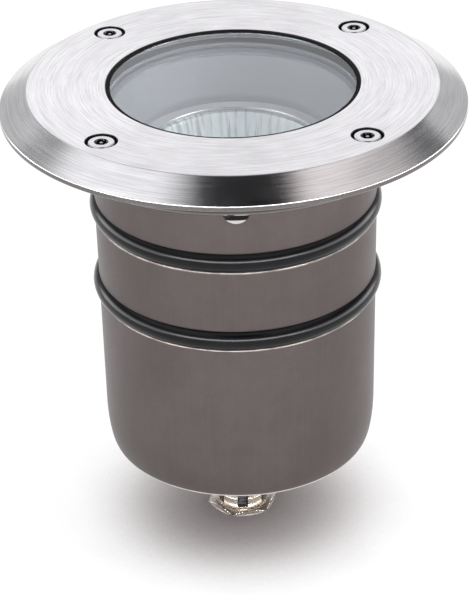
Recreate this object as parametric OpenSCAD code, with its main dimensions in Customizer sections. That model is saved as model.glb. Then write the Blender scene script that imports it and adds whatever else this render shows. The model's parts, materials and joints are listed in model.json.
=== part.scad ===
// Submersible spotlight: a round trim ring clamps a thick glass on a flanged can, which two
// rubber rings hold in a sleeve. A reflector lamp shines up through the glass, and a cable
// gland closes the bottom.
// Lengths are in millimetres. The underside of the trim ring lies at height zero, the light
// shines towards positive Z, and the side with the small side screw faces negative Y.
// Sizes chain outwards from the lamp, and downwards from the glass.

/* [Lamp] */
// Diameter of the lamp rim, a standard reflector lamp
lamp_rim_d = 50.7; // [48:0.1:54]
// Thickness of the lamp rim
lamp_rim_t = 2.6; // [2:0.1:3.4]
// Height of the reflector bowl below its rim
bowl_h = 23.5; // [20:0.1:28]
// Width of the step from the rim to the bowl
rim_step_w = 1.95; // [1.2:0.05:2.6]
// Width of the lamp rim outside the mirror's mouth
mirror_edge_w = 3.35; // [2.9:0.05:6]
// Diameter of the neck of the bowl
neck_d = 18; // [14:0.1:21]
// Diameter of the hole in the neck, around the capsule
neck_hole_d = 10.4; // [9.8:0.1:12]
// Thickness of the lamp's own cover glass
cover_t = 1.4; // [1:0.1:2]
// Diameter of the halogen capsule
capsule_d = 9.2; // [7:0.1:9.6]
// Height of the halogen capsule
capsule_h = 15.5; // [12:0.1:18]
// Height of the ceramic base
base_h = 9.6; // [8:0.1:13]
// Width of the ceramic base across its flats
base_w = 13; // [11:0.1:16]
// Diameter of a lamp pin
pin_d = 1.55; // [1.45:0.01:2]
// Distance between the lamp pins
pin_pitch = 5.33; // [4.5:0.01:6.4]
// Length of the lamp pins
pin_len = 7.5; // [6:0.1:8.5]
// Thickness of the flat spring clip that keeps the lamp in
clip_t = 0.6; // [0.4:0.05:1]
// Width of the spring clip's band
clip_w = 3.5; // [2.4:0.05:4]
// Width of the gap in the spring clip
clip_gap_w = 3; // [2:0.1:6]

/* [Baffle] */
// Radial room between the lamp rim and the baffle's skirt
lamp_room = 0.85; // [0.4:0.05:1.5]
// Sheet thickness of the baffle
baffle_wall = 1; // [0.6:0.05:1.5]
// Height of the baffle's cone
cone_h = 9.7; // [7:0.1:12]
// How much wider the cone is at its top, on each side
cone_spread = 5.4; // [3.5:0.1:7.5]
// Height of the baffle's skirt, around the lamp rim
skirt_h = 5.1; // [4:0.1:7]
// Height of the baffle's rim inside the ledge
baffle_rim_h = 1.1; // [0.6:0.05:1.6]
// Wall of the baffle's rim inside the ledge
baffle_rim_w = 0.6; // [0.4:0.05:1]
// Width of the welded lip at the top of the baffle
baffle_lip_w = 2.55; // [1.8:0.05:3.5]
// Width of the shelf outside the skirt, where the bracket is screwed on
shelf_w = 2.8; // [2.2:0.1:3.4]
// How far the shelf reaches under the lamp rim
shelf_hold_w = 1.4; // [0.9:0.1:1.7]

/* [Front glass and gaskets] */
// Thickness of the front glass under the trim ring's lip
glass_t = 8; // [6:0.1:10]
// How far the middle of the glass lies below the trim ring's top
glass_sink = 0.5; // [0.3:0.05:0.7]
// Width of the glass edge that the trim ring covers
glass_cover_w = 3.5; // [2.5:0.1:5]
// Thickness of the gasket above the glass
upper_gasket_t = 0.6; // [0.4:0.05:1]
// Thickness of the gasket below the glass
lower_gasket_t = 0.8; // [0.5:0.05:1.2]
// Width of the gasket's lip that shows inside the opening
gasket_show_w = 0.7; // [0.4:0.05:1.1]
// How far the gasket's lip lies below the trim ring's top
gasket_sink = 0.15; // [0.05:0.05:0.3]
// Small bevel on the edges of the glass
glass_bevel = 0.5; // [0.2:0.05:1]

/* [Housing flange] */
// How far the ledge stands in from the opening's edge
ledge_in_w = 0.25; // [0.15:0.05:1]
// Thickness of the ledge under the glass
ledge_t = 1.9; // [1.4:0.1:3]
// Radial room around the glass
pocket_room = 0.8; // [0.4:0.05:1.2]
// Distance from the pocket wall to the screw axes
screw_inset_w = 9.2; // [7:0.1:12]
// Distance from the screw axes to the flange's outer edge
flange_edge_w = 4; // [3.2:0.1:6]
// Small bevel at the flange's lower edge
flange_bevel = 0.4; // [0.1:0.05:0.8]

/* [Trim ring] */
// Width of the seat that the trim ring has beyond the flange
seat_w = 10; // [7:0.1:14]
// Thickness of the trim ring at its flat top
ring_t = 6; // [5:0.1:8]
// Thickness of the trim ring at its rim
rim_t = 1.4; // [0.8:0.1:2.4]
// Width of the bevel
bevel_w = 7.2; // [4:0.1:9]
// Thickness of the lip that holds the glass down
lip_t = 1; // [0.7:0.05:1.5]
// Depth of the recess under the trim ring, which takes the flange
recess_depth = 0.5; // [0.2:0.05:1]
// Radial room between the flange and the recess
recess_room = 0.5; // [0.2:0.05:1]

/* [Trim screws] */
// Thread diameter of the trim screws
screw_d = 4; // [3:0.1:5]
// Width that the head stands out beyond the thread
screw_head_w = 1.4; // [1:0.05:2]
// Radial room between the head and its counterbore
cbore_room = 0.6; // [0.3:0.05:1]
// Height of the screw head
screw_head_h = 3.4; // [2.4:0.1:4]
// How far the head lies below the ring's top
screw_sink = 0.2; // [0:0.05:0.6]
// Thickness of the seal under the head
screw_seal_t = 0.4; // [0.2:0.05:0.8]
// Length of the screw below its head
screw_len = 8; // [6.5:0.1:8.6]
// Diameter of the star socket
socket_d = 3.4; // [2.4:0.1:4]
// Depth of the star socket
socket_depth = 1.9; // [1:0.1:2.4]
// Diameter of the pin in the middle of the socket
socket_pin_d = 0.8; // [0.5:0.05:1.1]

/* [Can] */
// Length of the can below the flange
can_len = 92.5; // [82:0.5:120]
// Wall thickness of the can
can_wall = 1.5; // [1:0.05:2]
// Radial room between the baffle's lip and the can
can_room = 0.8; // [0.3:0.05:1.5]
// How much the radius shrinks from the top to the corner
draft_w = 0.7; // [0:0.05:1.5]
// Width of the rounded bottom corner
corner_w = 3.2; // [2:0.1:6]
// Height of the rounded bottom corner
corner_h = 11.2; // [6:0.1:16]

/* [Rubber rings] */
// Section diameter of the two rubber rings
oring_d = 6; // [4.5:0.1:7]
// How far the rubber rings stand out of the can
oring_out_w = 1.15; // [0.6:0.05:2]
// Height from the flange to the upper rubber ring
oring_drop = 20.55; // [18:0.05:26]
// Distance between the two rubber rings
oring_pitch = 22.65; // [16:0.05:28]

/* [Side screw] */
// Thread diameter of the side screw
side_d = 4; // [3:0.1:5]
// Width that the head stands out beyond the thread
side_head_w = 1.5; // [1:0.05:2]
// Height of the head
side_head_h = 1.6; // [1:0.1:2.4]
// Length of the side screw below its head
side_len = 5; // [4:0.1:6]
// Thickness of the rubber washer under the head
side_washer_t = 0.6; // [0.4:0.05:1]
// Width across the flats of the welded nut inside
side_nut_af = 7; // [6:0.1:8]
// Thickness of the welded nut inside
side_nut_t = 2.4; // [1.6:0.1:3]
// Room between the welded nut and the baffle's lip
side_nut_room = 0.3; // [0.2:0.05:1.5]
// Width of the slot in the head
side_slot_w = 0.9; // [0.5:0.05:1.3]
// Slant of the slot, in degrees
side_slot_turn = 28; // [0:1:90]

/* [Lampholder and bracket] */
// Height of the lampholder
holder_h = 9.2; // [8.5:0.1:13]
// Length of the lampholder
holder_l = 23; // [20:0.1:28]
// Width of the lampholder
holder_w = 14; // [11:0.1:17]
// Width of the bracket strap
strap_w = 12; // [10.5:0.1:14]
// Thickness of the bracket strap
strap_t = 1; // [0.6:0.05:1.4]
// Thread diameter of the bracket's and lampholder's small screws
small_screw_d = 2.5; // [2:0.1:3]
// Width that their heads stand out beyond the thread
small_head_w = 0.85; // [0.6:0.05:1]
// Height of their heads
small_head_h = 1.4; // [1:0.1:1.8]
// How deep a lampholder screw goes into the lampholder
holder_screw_grip = 5; // [3:0.1:6.5]

/* [Wiring] */
// Diameter of an insulated lead
lead_d = 1.8; // [1.4:0.05:2.2]
// Distance between the two leads
lead_pitch = 8; // [6:0.1:9]
// Bend radius of a lead
lead_bend_r = 6; // [4:0.1:8]
// How deep a lead goes into its terminal
lead_grip = 3; // [2:0.1:4]
// Length of the terminal block
block_l = 14; // [12:0.1:17]
// Height of the terminal block above its wire entries
block_top_h = 6; // [4.6:0.1:8]
// Width of the terminal block beyond each lead
block_side_w = 4; // [3:0.1:5]
// Diameter of a terminal screw
terminal_screw_d = 3; // [2.2:0.1:3.6]
// Depth of the recess over a terminal screw
terminal_recess = 1.2; // [0.6:0.1:2]
// Thickness of the plate that carries the terminal block
plate_t = 1; // [0.6:0.05:1.5]
// Room between the locknut and the terminal block
block_room = 3; // [2:0.1:4]

/* [Cable gland] */
// Diameter of the largest cable that the seal takes
cable_d = 6; // [4:0.1:7]
// Radial thickness of the rubber seal
seal_wall = 1.4; // [1:0.05:2]
// Length of the rubber seal
seal_len = 8; // [6:0.1:10]
// Wall of the gland's spout around the seal
spout_wall = 1; // [0.8:0.05:1.5]
// Radial room between the cable and the gland's inner bore
gland_bore_room = 0.6; // [0.4:0.05:1]
// Wall of the threaded stem
stem_wall = 2.4; // [2.2:0.05:3.2]
// Width of the gland's hexagon beyond the stem, on each side
gland_hex_w = 3; // [2.7:0.1:4.5]
// Height of the gland's hexagon
gland_hex_h = 6; // [4:0.1:8]
// Width of the gland's round neck beyond the stem, on each side
gland_neck_w = 2; // [1:0.1:2.8]
// Height of the gland's round neck, below its hexagon
gland_neck_h = 6; // [4:0.1:8]
// Length of the spout below the neck
spout_len = 9.2; // [7.5:0.1:13]
// Thickness of the sealing washer
gland_washer_t = 1.5; // [1:0.1:2.5]
// Width of the locknut beyond the stem, on each side
locknut_w = 2.5; // [2:0.1:3.5]
// Thickness of the locknut
locknut_t = 3.5; // [2.5:0.1:5]
// Length of stem above the locknut
stem_over = 0.5; // [0.2:0.1:0.9]
// Thickness of the thrust ring
thrust_t = 1; // [0.7:0.05:1.4]
// Wall of the nut's slotted collar
collar_wall = 1.45; // [1:0.05:2]
// Height of the nut's slotted collar
collar_h = 3; // [2.4:0.1:5]
// Width of a collar slot
slot_w = 2.85; // [1.8:0.05:3.2]
// Number of collar slots
slot_count = 6; // [4:1:8]
// Metal left between the slots and the nut's hexagon
slot_rest = 0.2; // [0.1:0.05:0.6]
// Width of the nut's hexagon beyond the collar, on each side
nut_hex_w = 1.54; // [1:0.02:3]
// Turn of the nut's hexagon from its slots, in degrees
nut_hex_turn = 12; // [0:1:30]
// Thickness of the nut's hexagon
nut_hex_t = 2; // [1.6:0.1:4]
// Thickness of the nut's floor
nut_floor_t = 1; // [0.7:0.05:1.5]

/* [Fits] */
// Radial clearance of pieces that turn or slide on each other
run_fit = 0.06; // [0.02:0.01:0.1]
// Radial clearance of pieces that are only put together
loose_fit = 0.15; // [0.1:0.05:0.4]
// Clearance around soft rings in their grooves
soft_fit = 0.05; // [0.02:0.01:0.1]

/* [Hidden] */
$fn = 96;
// Overrun of every cut
cut = 1.5;
// Outline of the can's bottom corner, as shares of its width and height
corner_shares = [[0, 0], [0.07, 0.33], [0.2, 0.62], [0.38, 0.84], [0.64, 0.96], [1, 1]];
// Steps and curve of the reflector bowl
bowl_steps = 10;
bowl_power = 0.55;
// Shares of the star socket's radius: core, lobes
star_core_share = 0.74;
star_lobe_share = 0.24;

// Radii, from the lamp outwards
lamp_r = lamp_rim_d / 2;
skirt_r = lamp_r + lamp_room;
cone_r = skirt_r + cone_spread;
ledge_r = cone_r + baffle_rim_w + soft_fit;
opening_r = ledge_r + ledge_in_w;
gasket_lip_r = opening_r - gasket_show_w;
glass_neck_r = gasket_lip_r - soft_fit;
glass_r = opening_r + glass_cover_w;
pocket_r = glass_r + pocket_room;
screw_ring_r = pocket_r + screw_inset_w;
screw_xy = screw_ring_r / sqrt(2);
flange_r = screw_ring_r + flange_edge_w;
recess_r = flange_r + recess_room;
ring_r = flange_r + seat_w;
flat_r = ring_r - bevel_w;
baffle_lip_r = ledge_r + baffle_lip_w;
can_in_r = baffle_lip_r + can_room;
can_r = can_in_r + can_wall;
can_low_r = can_r - draft_w;
oring_centre_r = can_r + oring_out_w - oring_d / 2;

// Heights, from the ring's seat upwards and downwards
lip_z = ring_t - lip_t;
gasket_top_z = ring_t - gasket_sink;
glass_top_z = ring_t - glass_sink;
glass_step_z = lip_z - upper_gasket_t;
glass_z = glass_step_z - glass_t;
ledge_z = glass_z - lower_gasket_t;
flange_z = ledge_z - ledge_t;
skirt_top_z = flange_z - cone_h;
shelf_z = skirt_top_z - skirt_h;
rim_top_z = shelf_z + lamp_rim_t;
bowl_z = shelf_z - bowl_h;
base_z = bowl_z - base_h;
holder_z = base_z - holder_h;
can_z = flange_z - can_len;
floor_z = can_z + can_wall;
oring_upper_z = flange_z - oring_drop;
oring_lower_z = oring_upper_z - oring_pitch;

// Lamp
mirror_r = lamp_r - mirror_edge_w;
cover_seat_r = mirror_r + cover_t;

// Trim screws
head_r = screw_d / 2 + screw_head_w;
cbore_r = head_r + cbore_room;
head_z = ring_t - screw_sink - screw_head_h;
cbore_z = head_z - screw_seal_t;

// Side screw
side_z = flange_z - baffle_wall - side_nut_af / 2 - side_nut_room;
side_head_r = side_d / 2 + side_head_w;
side_seat_y = can_r + side_washer_t;
side_nut_seat_y = sqrt(pow(can_in_r - soft_fit, 2) - pow(side_nut_af / 2, 2)) - draft_w / 2;

// Baffle shelf and bracket
shelf_out_r = skirt_r + baffle_wall + shelf_w;
shelf_in_r = lamp_r - shelf_hold_w;
foot_x = shelf_out_r - loose_fit;
small_head_r = small_screw_d / 2 + small_head_w;
foot_screw_x = foot_x - small_head_r - loose_fit;
leg_x = foot_screw_x - small_head_r - loose_fit;
foot_z = shelf_z - baffle_wall - strap_t;
strap_z = holder_z - strap_t;
holder_screw_x = holder_l / 2 - small_head_r - loose_fit;

// Wiring
gland_stem_r = cable_d / 2 + gland_bore_room + stem_wall;
locknut_corner_r = (gland_stem_r + locknut_w) * 2 / sqrt(3);
plate_top_z = floor_z + plate_t;
stem_top_z = plate_top_z + locknut_t + stem_over;
lead_z = stem_top_z + lead_d + loose_fit;
block_x = locknut_corner_r + block_room;
block_w = lead_pitch + 2 * block_side_w;
block_h = lead_z - plate_top_z + block_top_h;
terminal_screw_x = block_x + lead_grip;
terminal_far_x = block_x + block_l - lead_grip;
terminal_screw_z = plate_top_z + block_h - terminal_recess;

// Gland
gland_bore_r = cable_d / 2 + gland_bore_room;
seal_r = cable_d / 2 + seal_wall;
seat_r = seal_r + soft_fit;
spout_r = seat_r + spout_wall;
nut_thread_r = spout_r + run_fit;
collar_r = nut_thread_r + collar_wall;
gland_hex_top_z = can_z - gland_washer_t;
gland_hex_z = gland_hex_top_z - gland_hex_h;
gland_neck_z = gland_hex_z - gland_neck_h;
spout_z = gland_neck_z - spout_len;
thrust_z = spout_z - thrust_t / 2;
seal_z = thrust_z + thrust_t;
nut_floor_z = thrust_z - nut_floor_t;
nut_hex_top_z = nut_floor_z + nut_hex_t;
collar_top_z = nut_hex_top_z + collar_h;

// A round solid between two heights
module disc(r, z_low, z_high) {
    translate([0, 0, z_low]) cylinder(r = r, h = z_high - z_low);
}

// A flat ring between two heights
module washer(r_out, r_in, z_low, z_high) {
    difference() {
        disc(r_out, z_low, z_high);
        disc(r_in, z_low - cut, z_high + cut);
    }
}

// A hexagonal bar between two heights, with flats that face front and back
module hexagon(af, z_low, z_high) {
    translate([0, 0, z_low]) cylinder(r = af / sqrt(3), h = z_high - z_low, $fn = 6);
}

// A ring of round section
module round_ring(centre_r, section_r, z) {
    translate([0, 0, z]) rotate_extrude() translate([centre_r, 0]) circle(r = section_r);
}

// Puts its child on one of the four trim screw axes
module at_screw(sx, sy) {
    translate([sx * screw_xy, sy * screw_xy, 0]) children();
}

module at_screws() {
    for (sx = [-1, 1], sy = [-1, 1]) at_screw(sx, sy) children();
}

// The six-lobed outline of a star socket
module star(r) {
    circle(r = star_core_share * r);
    for (a = [0:60:300]) rotate(a) translate([(1 - star_lobe_share) * r, 0])
        circle(r = star_lobe_share * r);
}

// A pan head screw whose head lies below height zero, and whose thread points up
module small_screw(len) {
    disc(small_screw_d / 2, -cut / 3, len);
    difference() {
        disc(small_head_r, -small_head_h, 0);
        for (a = [0, 90]) rotate(a)
            translate([-small_head_r / 2, -small_screw_d / 8, -small_head_h - cut])
                cube([small_head_r, small_screw_d / 4, cut + small_head_h / 2]);
    }
}

// Turns a piece that points up so that it points to the front
module to_front() {
    translate([0, 0, side_z]) rotate([90, 0, 0]) children();
}

module trim_ring() {
    color([0.83, 0.83, 0.84]) difference() {
        rotate_extrude() polygon([
            [opening_r, lip_z], [opening_r, ring_t], [flat_r, ring_t], [ring_r, rim_t],
            [ring_r, 0], [recess_r, 0], [recess_r, recess_depth], [pocket_r, recess_depth],
            [pocket_r, lip_z]]);
        at_screws() {
            disc(cbore_r, cbore_z, ring_t + cut);
            disc(screw_d / 2 + loose_fit, -cut, cbore_z + cut / 3);
        }
    }
}

// A cap screw with a pinned star socket
module trim_screw() {
    color([0.7, 0.7, 0.72]) {
        difference() {
            disc(head_r, head_z, head_z + screw_head_h);
            translate([0, 0, head_z + screw_head_h - socket_depth])
                linear_extrude(height = socket_depth + cut) star(socket_d / 2);
        }
        disc(socket_pin_d / 2, head_z + screw_head_h / 3, head_z + screw_head_h - screw_sink);
        disc(screw_d / 2, head_z - screw_len, head_z + screw_head_h / 4);
    }
}

module trim_screw_front_left() {
    at_screw(-1, -1) trim_screw();
}

module trim_screw_front_right() {
    at_screw(1, -1) trim_screw();
}

module trim_screw_rear_left() {
    at_screw(-1, 1) trim_screw();
}

module trim_screw_rear_right() {
    at_screw(1, 1) trim_screw();
}

module screw_seals() {
    color([0.1, 0.1, 0.1]) at_screws()
        washer(head_r, screw_d / 2 + run_fit, cbore_z, head_z);
}

module glass_gasket_upper() {
    color([0.08, 0.08, 0.09]) rotate_extrude() polygon([
        [gasket_lip_r, glass_step_z], [gasket_lip_r, gasket_top_z],
        [opening_r - soft_fit, gasket_top_z], [opening_r - soft_fit, lip_z],
        [glass_r + soft_fit, lip_z], [glass_r + soft_fit, glass_step_z]]);
}

module front_glass() {
    color([0.75, 0.83, 0.86, 0.35]) rotate_extrude() polygon([
        [0, glass_z], [glass_r - glass_bevel, glass_z], [glass_r, glass_z + glass_bevel],
        [glass_r, glass_step_z - glass_bevel], [glass_r - glass_bevel, glass_step_z],
        [glass_neck_r, glass_step_z], [glass_neck_r, glass_top_z - glass_bevel / 2],
        [glass_neck_r - glass_bevel / 2, glass_top_z], [0, glass_top_z]]);
}

module glass_gasket_lower() {
    color([0.08, 0.08, 0.09]) washer(glass_r + soft_fit, ledge_r + soft_fit, ledge_z, glass_z);
}

module body_flange() {
    color([0.55, 0.53, 0.52]) difference() {
        rotate_extrude() polygon([
            [ledge_r, flange_z], [ledge_r, ledge_z], [pocket_r, ledge_z],
            [pocket_r, recess_depth], [flange_r, recess_depth],
            [flange_r, flange_z + flange_bevel], [flange_r - flange_bevel, flange_z]]);
        at_screws() disc(screw_d / 2 + run_fit, flange_z - cut, recess_depth + cut);
    }
}

// Points of the can's outline from the top to the bottom corner, drawn in by a wall
function can_side(wall) = [for (s = corner_shares)
    [can_low_r - wall - s[0] * corner_w, can_z + wall + (1 - s[1]) * (corner_h - wall)]];

module body_can() {
    color([0.46, 0.43, 0.42]) difference() {
        rotate_extrude() polygon(concat([[0, flange_z], [can_r, flange_z]], can_side(0),
                                        [[0, can_z]]));
        for (z = [oring_upper_z, oring_lower_z])
            round_ring(oring_centre_r, oring_d / 2 + soft_fit, z);
        difference() {
            rotate_extrude() polygon(concat(
                [[0, flange_z + cut], [can_in_r, flange_z + cut], [can_in_r, flange_z]],
                can_side(can_wall), [[0, floor_z]]));
            for (z = [oring_upper_z, oring_lower_z])
                round_ring(oring_centre_r, oring_d / 2 + soft_fit + can_wall, z);
        }
        disc(gland_stem_r + loose_fit, can_z - cut, floor_z + cut);
        to_front() disc(side_d / 2 + run_fit, can_in_r / 2, can_r + cut);
    }
}

module oring_upper() {
    color([0.05, 0.05, 0.06]) round_ring(oring_centre_r, oring_d / 2, oring_upper_z);
}

module oring_lower() {
    color([0.05, 0.05, 0.06]) round_ring(oring_centre_r, oring_d / 2, oring_lower_z);
}

module side_screw() {
    color([0.72, 0.71, 0.69]) to_front() difference() {
        union() {
            disc(side_d / 2, side_seat_y - side_len, side_seat_y + side_head_h / 2);
            disc(side_head_r, side_seat_y, side_seat_y + side_head_h);
        }
        rotate(side_slot_turn)
            translate([-side_head_r - cut, -side_slot_w / 2, side_seat_y + side_head_h / 2])
                cube([2 * side_head_r + 2 * cut, side_slot_w, side_head_h + cut]);
    }
}

module side_screw_washer() {
    color([0.08, 0.08, 0.09]) to_front()
        washer(side_head_r - loose_fit, side_d / 2 + run_fit, can_r, side_seat_y);
}

module side_weld_nut() {
    color([0.6, 0.58, 0.55]) to_front() difference() {
        hexagon(side_nut_af, side_nut_seat_y - side_nut_t, side_nut_seat_y);
        disc(side_d / 2 + run_fit, side_nut_seat_y - side_nut_t - cut, side_nut_seat_y + cut);
    }
}

// Lip, cone, skirt and shelf of one pressed sheet
module baffle() {
    color([0.6, 0.64, 0.67]) difference() {
        rotate_extrude() polygon([
            [cone_r, flange_z + baffle_rim_h], [cone_r + baffle_rim_w, flange_z + baffle_rim_h],
            [cone_r + baffle_rim_w, flange_z], [baffle_lip_r, flange_z],
            [baffle_lip_r, flange_z - baffle_wall], [cone_r + baffle_wall, flange_z - baffle_wall],
            [skirt_r + baffle_wall, skirt_top_z],
            [skirt_r + baffle_wall, shelf_z], [shelf_out_r, shelf_z],
            [shelf_out_r, shelf_z - baffle_wall], [shelf_in_r, shelf_z - baffle_wall],
            [shelf_in_r, shelf_z], [skirt_r, shelf_z], [skirt_r, skirt_top_z]]);
        for (s = [-1, 1]) translate([s * foot_screw_x, 0, 0])
            disc(small_screw_d / 2 + run_fit, shelf_z - baffle_wall - cut, shelf_z + cut);
    }
}

module lamp_clip_ring() {
    color([0.78, 0.78, 0.76]) difference() {
        washer(skirt_r - soft_fit, skirt_r - soft_fit - clip_w, rim_top_z, rim_top_z + clip_t);
        translate([-clip_gap_w / 2, -3 * lamp_r / 2, rim_top_z - cut])
            cube([clip_gap_w, lamp_r, 2 * cut + clip_t]);
    }
}

// Points of a bowl between two radii and two heights
function bowl_side(r_low, r_high, z_low, z_high) = [for (k = [0:bowl_steps])
    [r_low + (r_high - r_low) * pow(k / bowl_steps, bowl_power),
     z_low + (z_high - z_low) * k / bowl_steps]];

function turned(list) = [for (k = [len(list) - 1:-1:0]) list[k]];

module lamp_reflector() {
    color([0.85, 0.88, 0.92]) rotate_extrude() polygon(concat(
        [[neck_hole_d / 2, bowl_z]],
        bowl_side(neck_d / 2, lamp_r - rim_step_w, bowl_z, shelf_z),
        [[lamp_r, shelf_z], [lamp_r, rim_top_z], [cover_seat_r, rim_top_z],
         [cover_seat_r, rim_top_z - cover_t - soft_fit]],
        turned(bowl_side(neck_hole_d / 2, mirror_r, bowl_z + cover_t,
                         rim_top_z - cover_t - soft_fit))));
}

module lamp_cover_glass() {
    color([0.85, 0.9, 0.92, 0.35])
        disc(cover_seat_r - soft_fit, rim_top_z - cover_t - soft_fit, rim_top_z - soft_fit);
}

module lamp_capsule() {
    color([0.88, 0.9, 0.92, 0.35]) {
        disc(capsule_d / 2, bowl_z, bowl_z + capsule_h - capsule_d / 2);
        translate([0, 0, bowl_z + capsule_h - capsule_d / 2]) sphere(r = capsule_d / 2);
    }
}

module lamp_base() {
    color([0.9, 0.88, 0.82]) intersection() {
        disc(neck_d / 2, base_z, bowl_z);
        translate([-neck_d, -base_w / 2, base_z - cut])
            cube([2 * neck_d, base_w, base_h + 2 * cut]);
    }
}

module lamp_pins() {
    color([0.75, 0.68, 0.5]) for (s = [-1, 1]) translate([s * pin_pitch / 2, 0, 0]) {
        disc(pin_d / 2, base_z - pin_len + pin_d / 2, base_z);
        translate([0, 0, base_z - pin_len + pin_d / 2]) sphere(r = pin_d / 2);
    }
}

module lamp_holder() {
    color([0.92, 0.9, 0.85]) difference() {
        translate([-holder_l / 2, -holder_w / 2, holder_z]) cube([holder_l, holder_w, holder_h]);
        for (s = [-1, 1]) {
            translate([s * pin_pitch / 2, 0, 0])
                disc(pin_d / 2 + run_fit, base_z - pin_len - lead_d / 2, base_z + cut);
            translate([s * holder_screw_x, 0, 0])
                disc(small_screw_d / 2 + run_fit, holder_z - cut, holder_z + holder_screw_grip);
        }
    }
}

// A strap with two legs whose feet are screwed under the baffle's shelf
module holder_bracket() {
    color([0.66, 0.66, 0.67]) difference() {
        union() {
            translate([-leg_x, -strap_w / 2, strap_z]) cube([2 * leg_x, strap_w, strap_t]);
            for (s = [-1, 1]) {
                translate([s * (leg_x - strap_t / 2) - strap_t / 2, -strap_w / 2, strap_z])
                    cube([strap_t, strap_w, foot_z + strap_t - strap_z]);
                translate([s * (leg_x + foot_x) / 2 - (foot_x - leg_x) / 2,
                           -small_head_r, foot_z])
                    cube([foot_x - leg_x, 2 * small_head_r, strap_t]);
            }
        }
        for (s = [-1, 1]) {
            translate([s * foot_screw_x, 0, 0])
                disc(small_screw_d / 2 + run_fit, foot_z - cut, foot_z + strap_t + cut);
            translate([s * holder_screw_x, 0, 0])
                disc(small_screw_d / 2 + run_fit, strap_z - cut, holder_z + cut);
            translate([0, s * lead_pitch / 2, 0])
                disc(lead_d / 2 + loose_fit, strap_z - cut, holder_z + cut);
        }
    }
}

module bracket_screws() {
    color([0.75, 0.75, 0.76]) for (s = [-1, 1]) translate([s * foot_screw_x, 0, foot_z])
        small_screw(strap_t + baffle_wall + small_head_h / 2);
}

module holder_screws() {
    color([0.75, 0.75, 0.76]) for (s = [-1, 1]) translate([s * holder_screw_x, 0, strap_z])
        small_screw(strap_t + holder_screw_grip - loose_fit);
}

// Two leads that drop from the lampholder and bend towards the terminal block
module lead_wires() {
    color([0.85, 0.83, 0.78]) for (s = [-1, 1]) translate([0, s * lead_pitch / 2, 0]) {
        disc(lead_d / 2, lead_z + lead_bend_r, holder_z);
        translate([-lead_bend_r, 0, lead_z + lead_bend_r]) rotate([-90, 0, 0])
            rotate_extrude(angle = 90) translate([lead_bend_r, 0]) circle(r = lead_d / 2);
        translate([-lead_bend_r, 0, lead_z]) rotate([0, -90, 0])
            disc(lead_d / 2, 0, block_x - lead_bend_r + lead_grip);
    }
}

module terminal_plate() {
    color([0.66, 0.66, 0.67]) difference() {
        union() {
            disc(locknut_corner_r, floor_z, plate_top_z);
            translate([-block_x - block_l, -block_w / 2, floor_z])
                cube([block_x + block_l, block_w, plate_t]);
        }
        disc(gland_stem_r + loose_fit, floor_z - cut, plate_top_z + cut);
        translate([-block_x - block_l / 2, 0, 0])
            disc(small_screw_d / 2 + run_fit, floor_z - cut, plate_top_z + cut);
    }
}

module terminal_block() {
    color([0.88, 0.87, 0.83]) difference() {
        translate([-block_x - block_l, -block_w / 2, plate_top_z])
            cube([block_l, block_w, block_h]);
        for (s = [-1, 1]) {
            translate([-block_x - block_l - cut, s * lead_pitch / 2, lead_z])
                rotate([0, 90, 0]) disc(lead_d / 2 + loose_fit, 0, block_l + 2 * cut);
            for (x = [terminal_screw_x, terminal_far_x])
                translate([-x, s * lead_pitch / 2, 0])
                    disc(terminal_screw_d / 2 + loose_fit, lead_z, plate_top_z + block_h + cut);
        }
        translate([-block_x - block_l / 2, 0, 0]) {
            disc(small_screw_d / 2 + run_fit, plate_top_z - cut, plate_top_z + block_h + cut);
            disc(small_head_r + loose_fit, plate_top_z + block_h - small_head_h,
                 plate_top_z + block_h + cut);
        }
    }
}

// Four slotted grub screws over the wire entries
module terminal_screws() {
    color([0.76, 0.68, 0.42]) for (x = [terminal_screw_x, terminal_far_x], s = [-1, 1])
        translate([-x, s * lead_pitch / 2, 0]) difference() {
            disc(terminal_screw_d / 2, lead_z + lead_d / 2 + soft_fit, terminal_screw_z);
            translate([-terminal_screw_d, -terminal_screw_d / 10,
                       terminal_screw_z - terminal_screw_d / 4])
                cube([2 * terminal_screw_d, terminal_screw_d / 5, terminal_screw_d]);
        }
}

// Goes down through the middle of the terminal block into its plate
module terminal_fixing_screw() {
    color([0.75, 0.75, 0.76])
        translate([-block_x - block_l / 2, 0, plate_top_z + block_h - small_head_h])
            rotate([180, 0, 0]) small_screw(block_h - small_head_h + plate_t / 2);
}

module gland_body() {
    color([0.68, 0.67, 0.6]) difference() {
        union() {
            disc(gland_stem_r, gland_hex_top_z - gland_hex_h / 2, stem_top_z);
            hexagon(2 * (gland_stem_r + gland_hex_w), gland_hex_z, gland_hex_top_z);
            disc(gland_stem_r + gland_neck_w, gland_neck_z, gland_hex_z + gland_hex_h / 2);
            disc(spout_r, spout_z, gland_neck_z + gland_neck_h / 2);
        }
        disc(gland_bore_r, spout_z - cut, stem_top_z + cut);
        disc(seat_r, spout_z - cut, seal_z + seal_len + soft_fit);
    }
}

module gland_washer() {
    color([0.08, 0.08, 0.09])
        washer(gland_stem_r + gland_hex_w / 2, gland_stem_r + loose_fit, gland_hex_top_z, can_z);
}

module gland_locknut() {
    color([0.68, 0.67, 0.6]) difference() {
        hexagon(2 * (gland_stem_r + locknut_w), plate_top_z, plate_top_z + locknut_t);
        disc(gland_stem_r + run_fit, plate_top_z - cut, plate_top_z + locknut_t + cut);
    }
}

module gland_seal() {
    color([0.1, 0.1, 0.1]) washer(seal_r, cable_d / 2, seal_z, seal_z + seal_len);
}

module gland_thrust_ring() {
    color([0.8, 0.8, 0.78]) washer(seal_r, gland_bore_r, thrust_z, seal_z);
}

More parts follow.
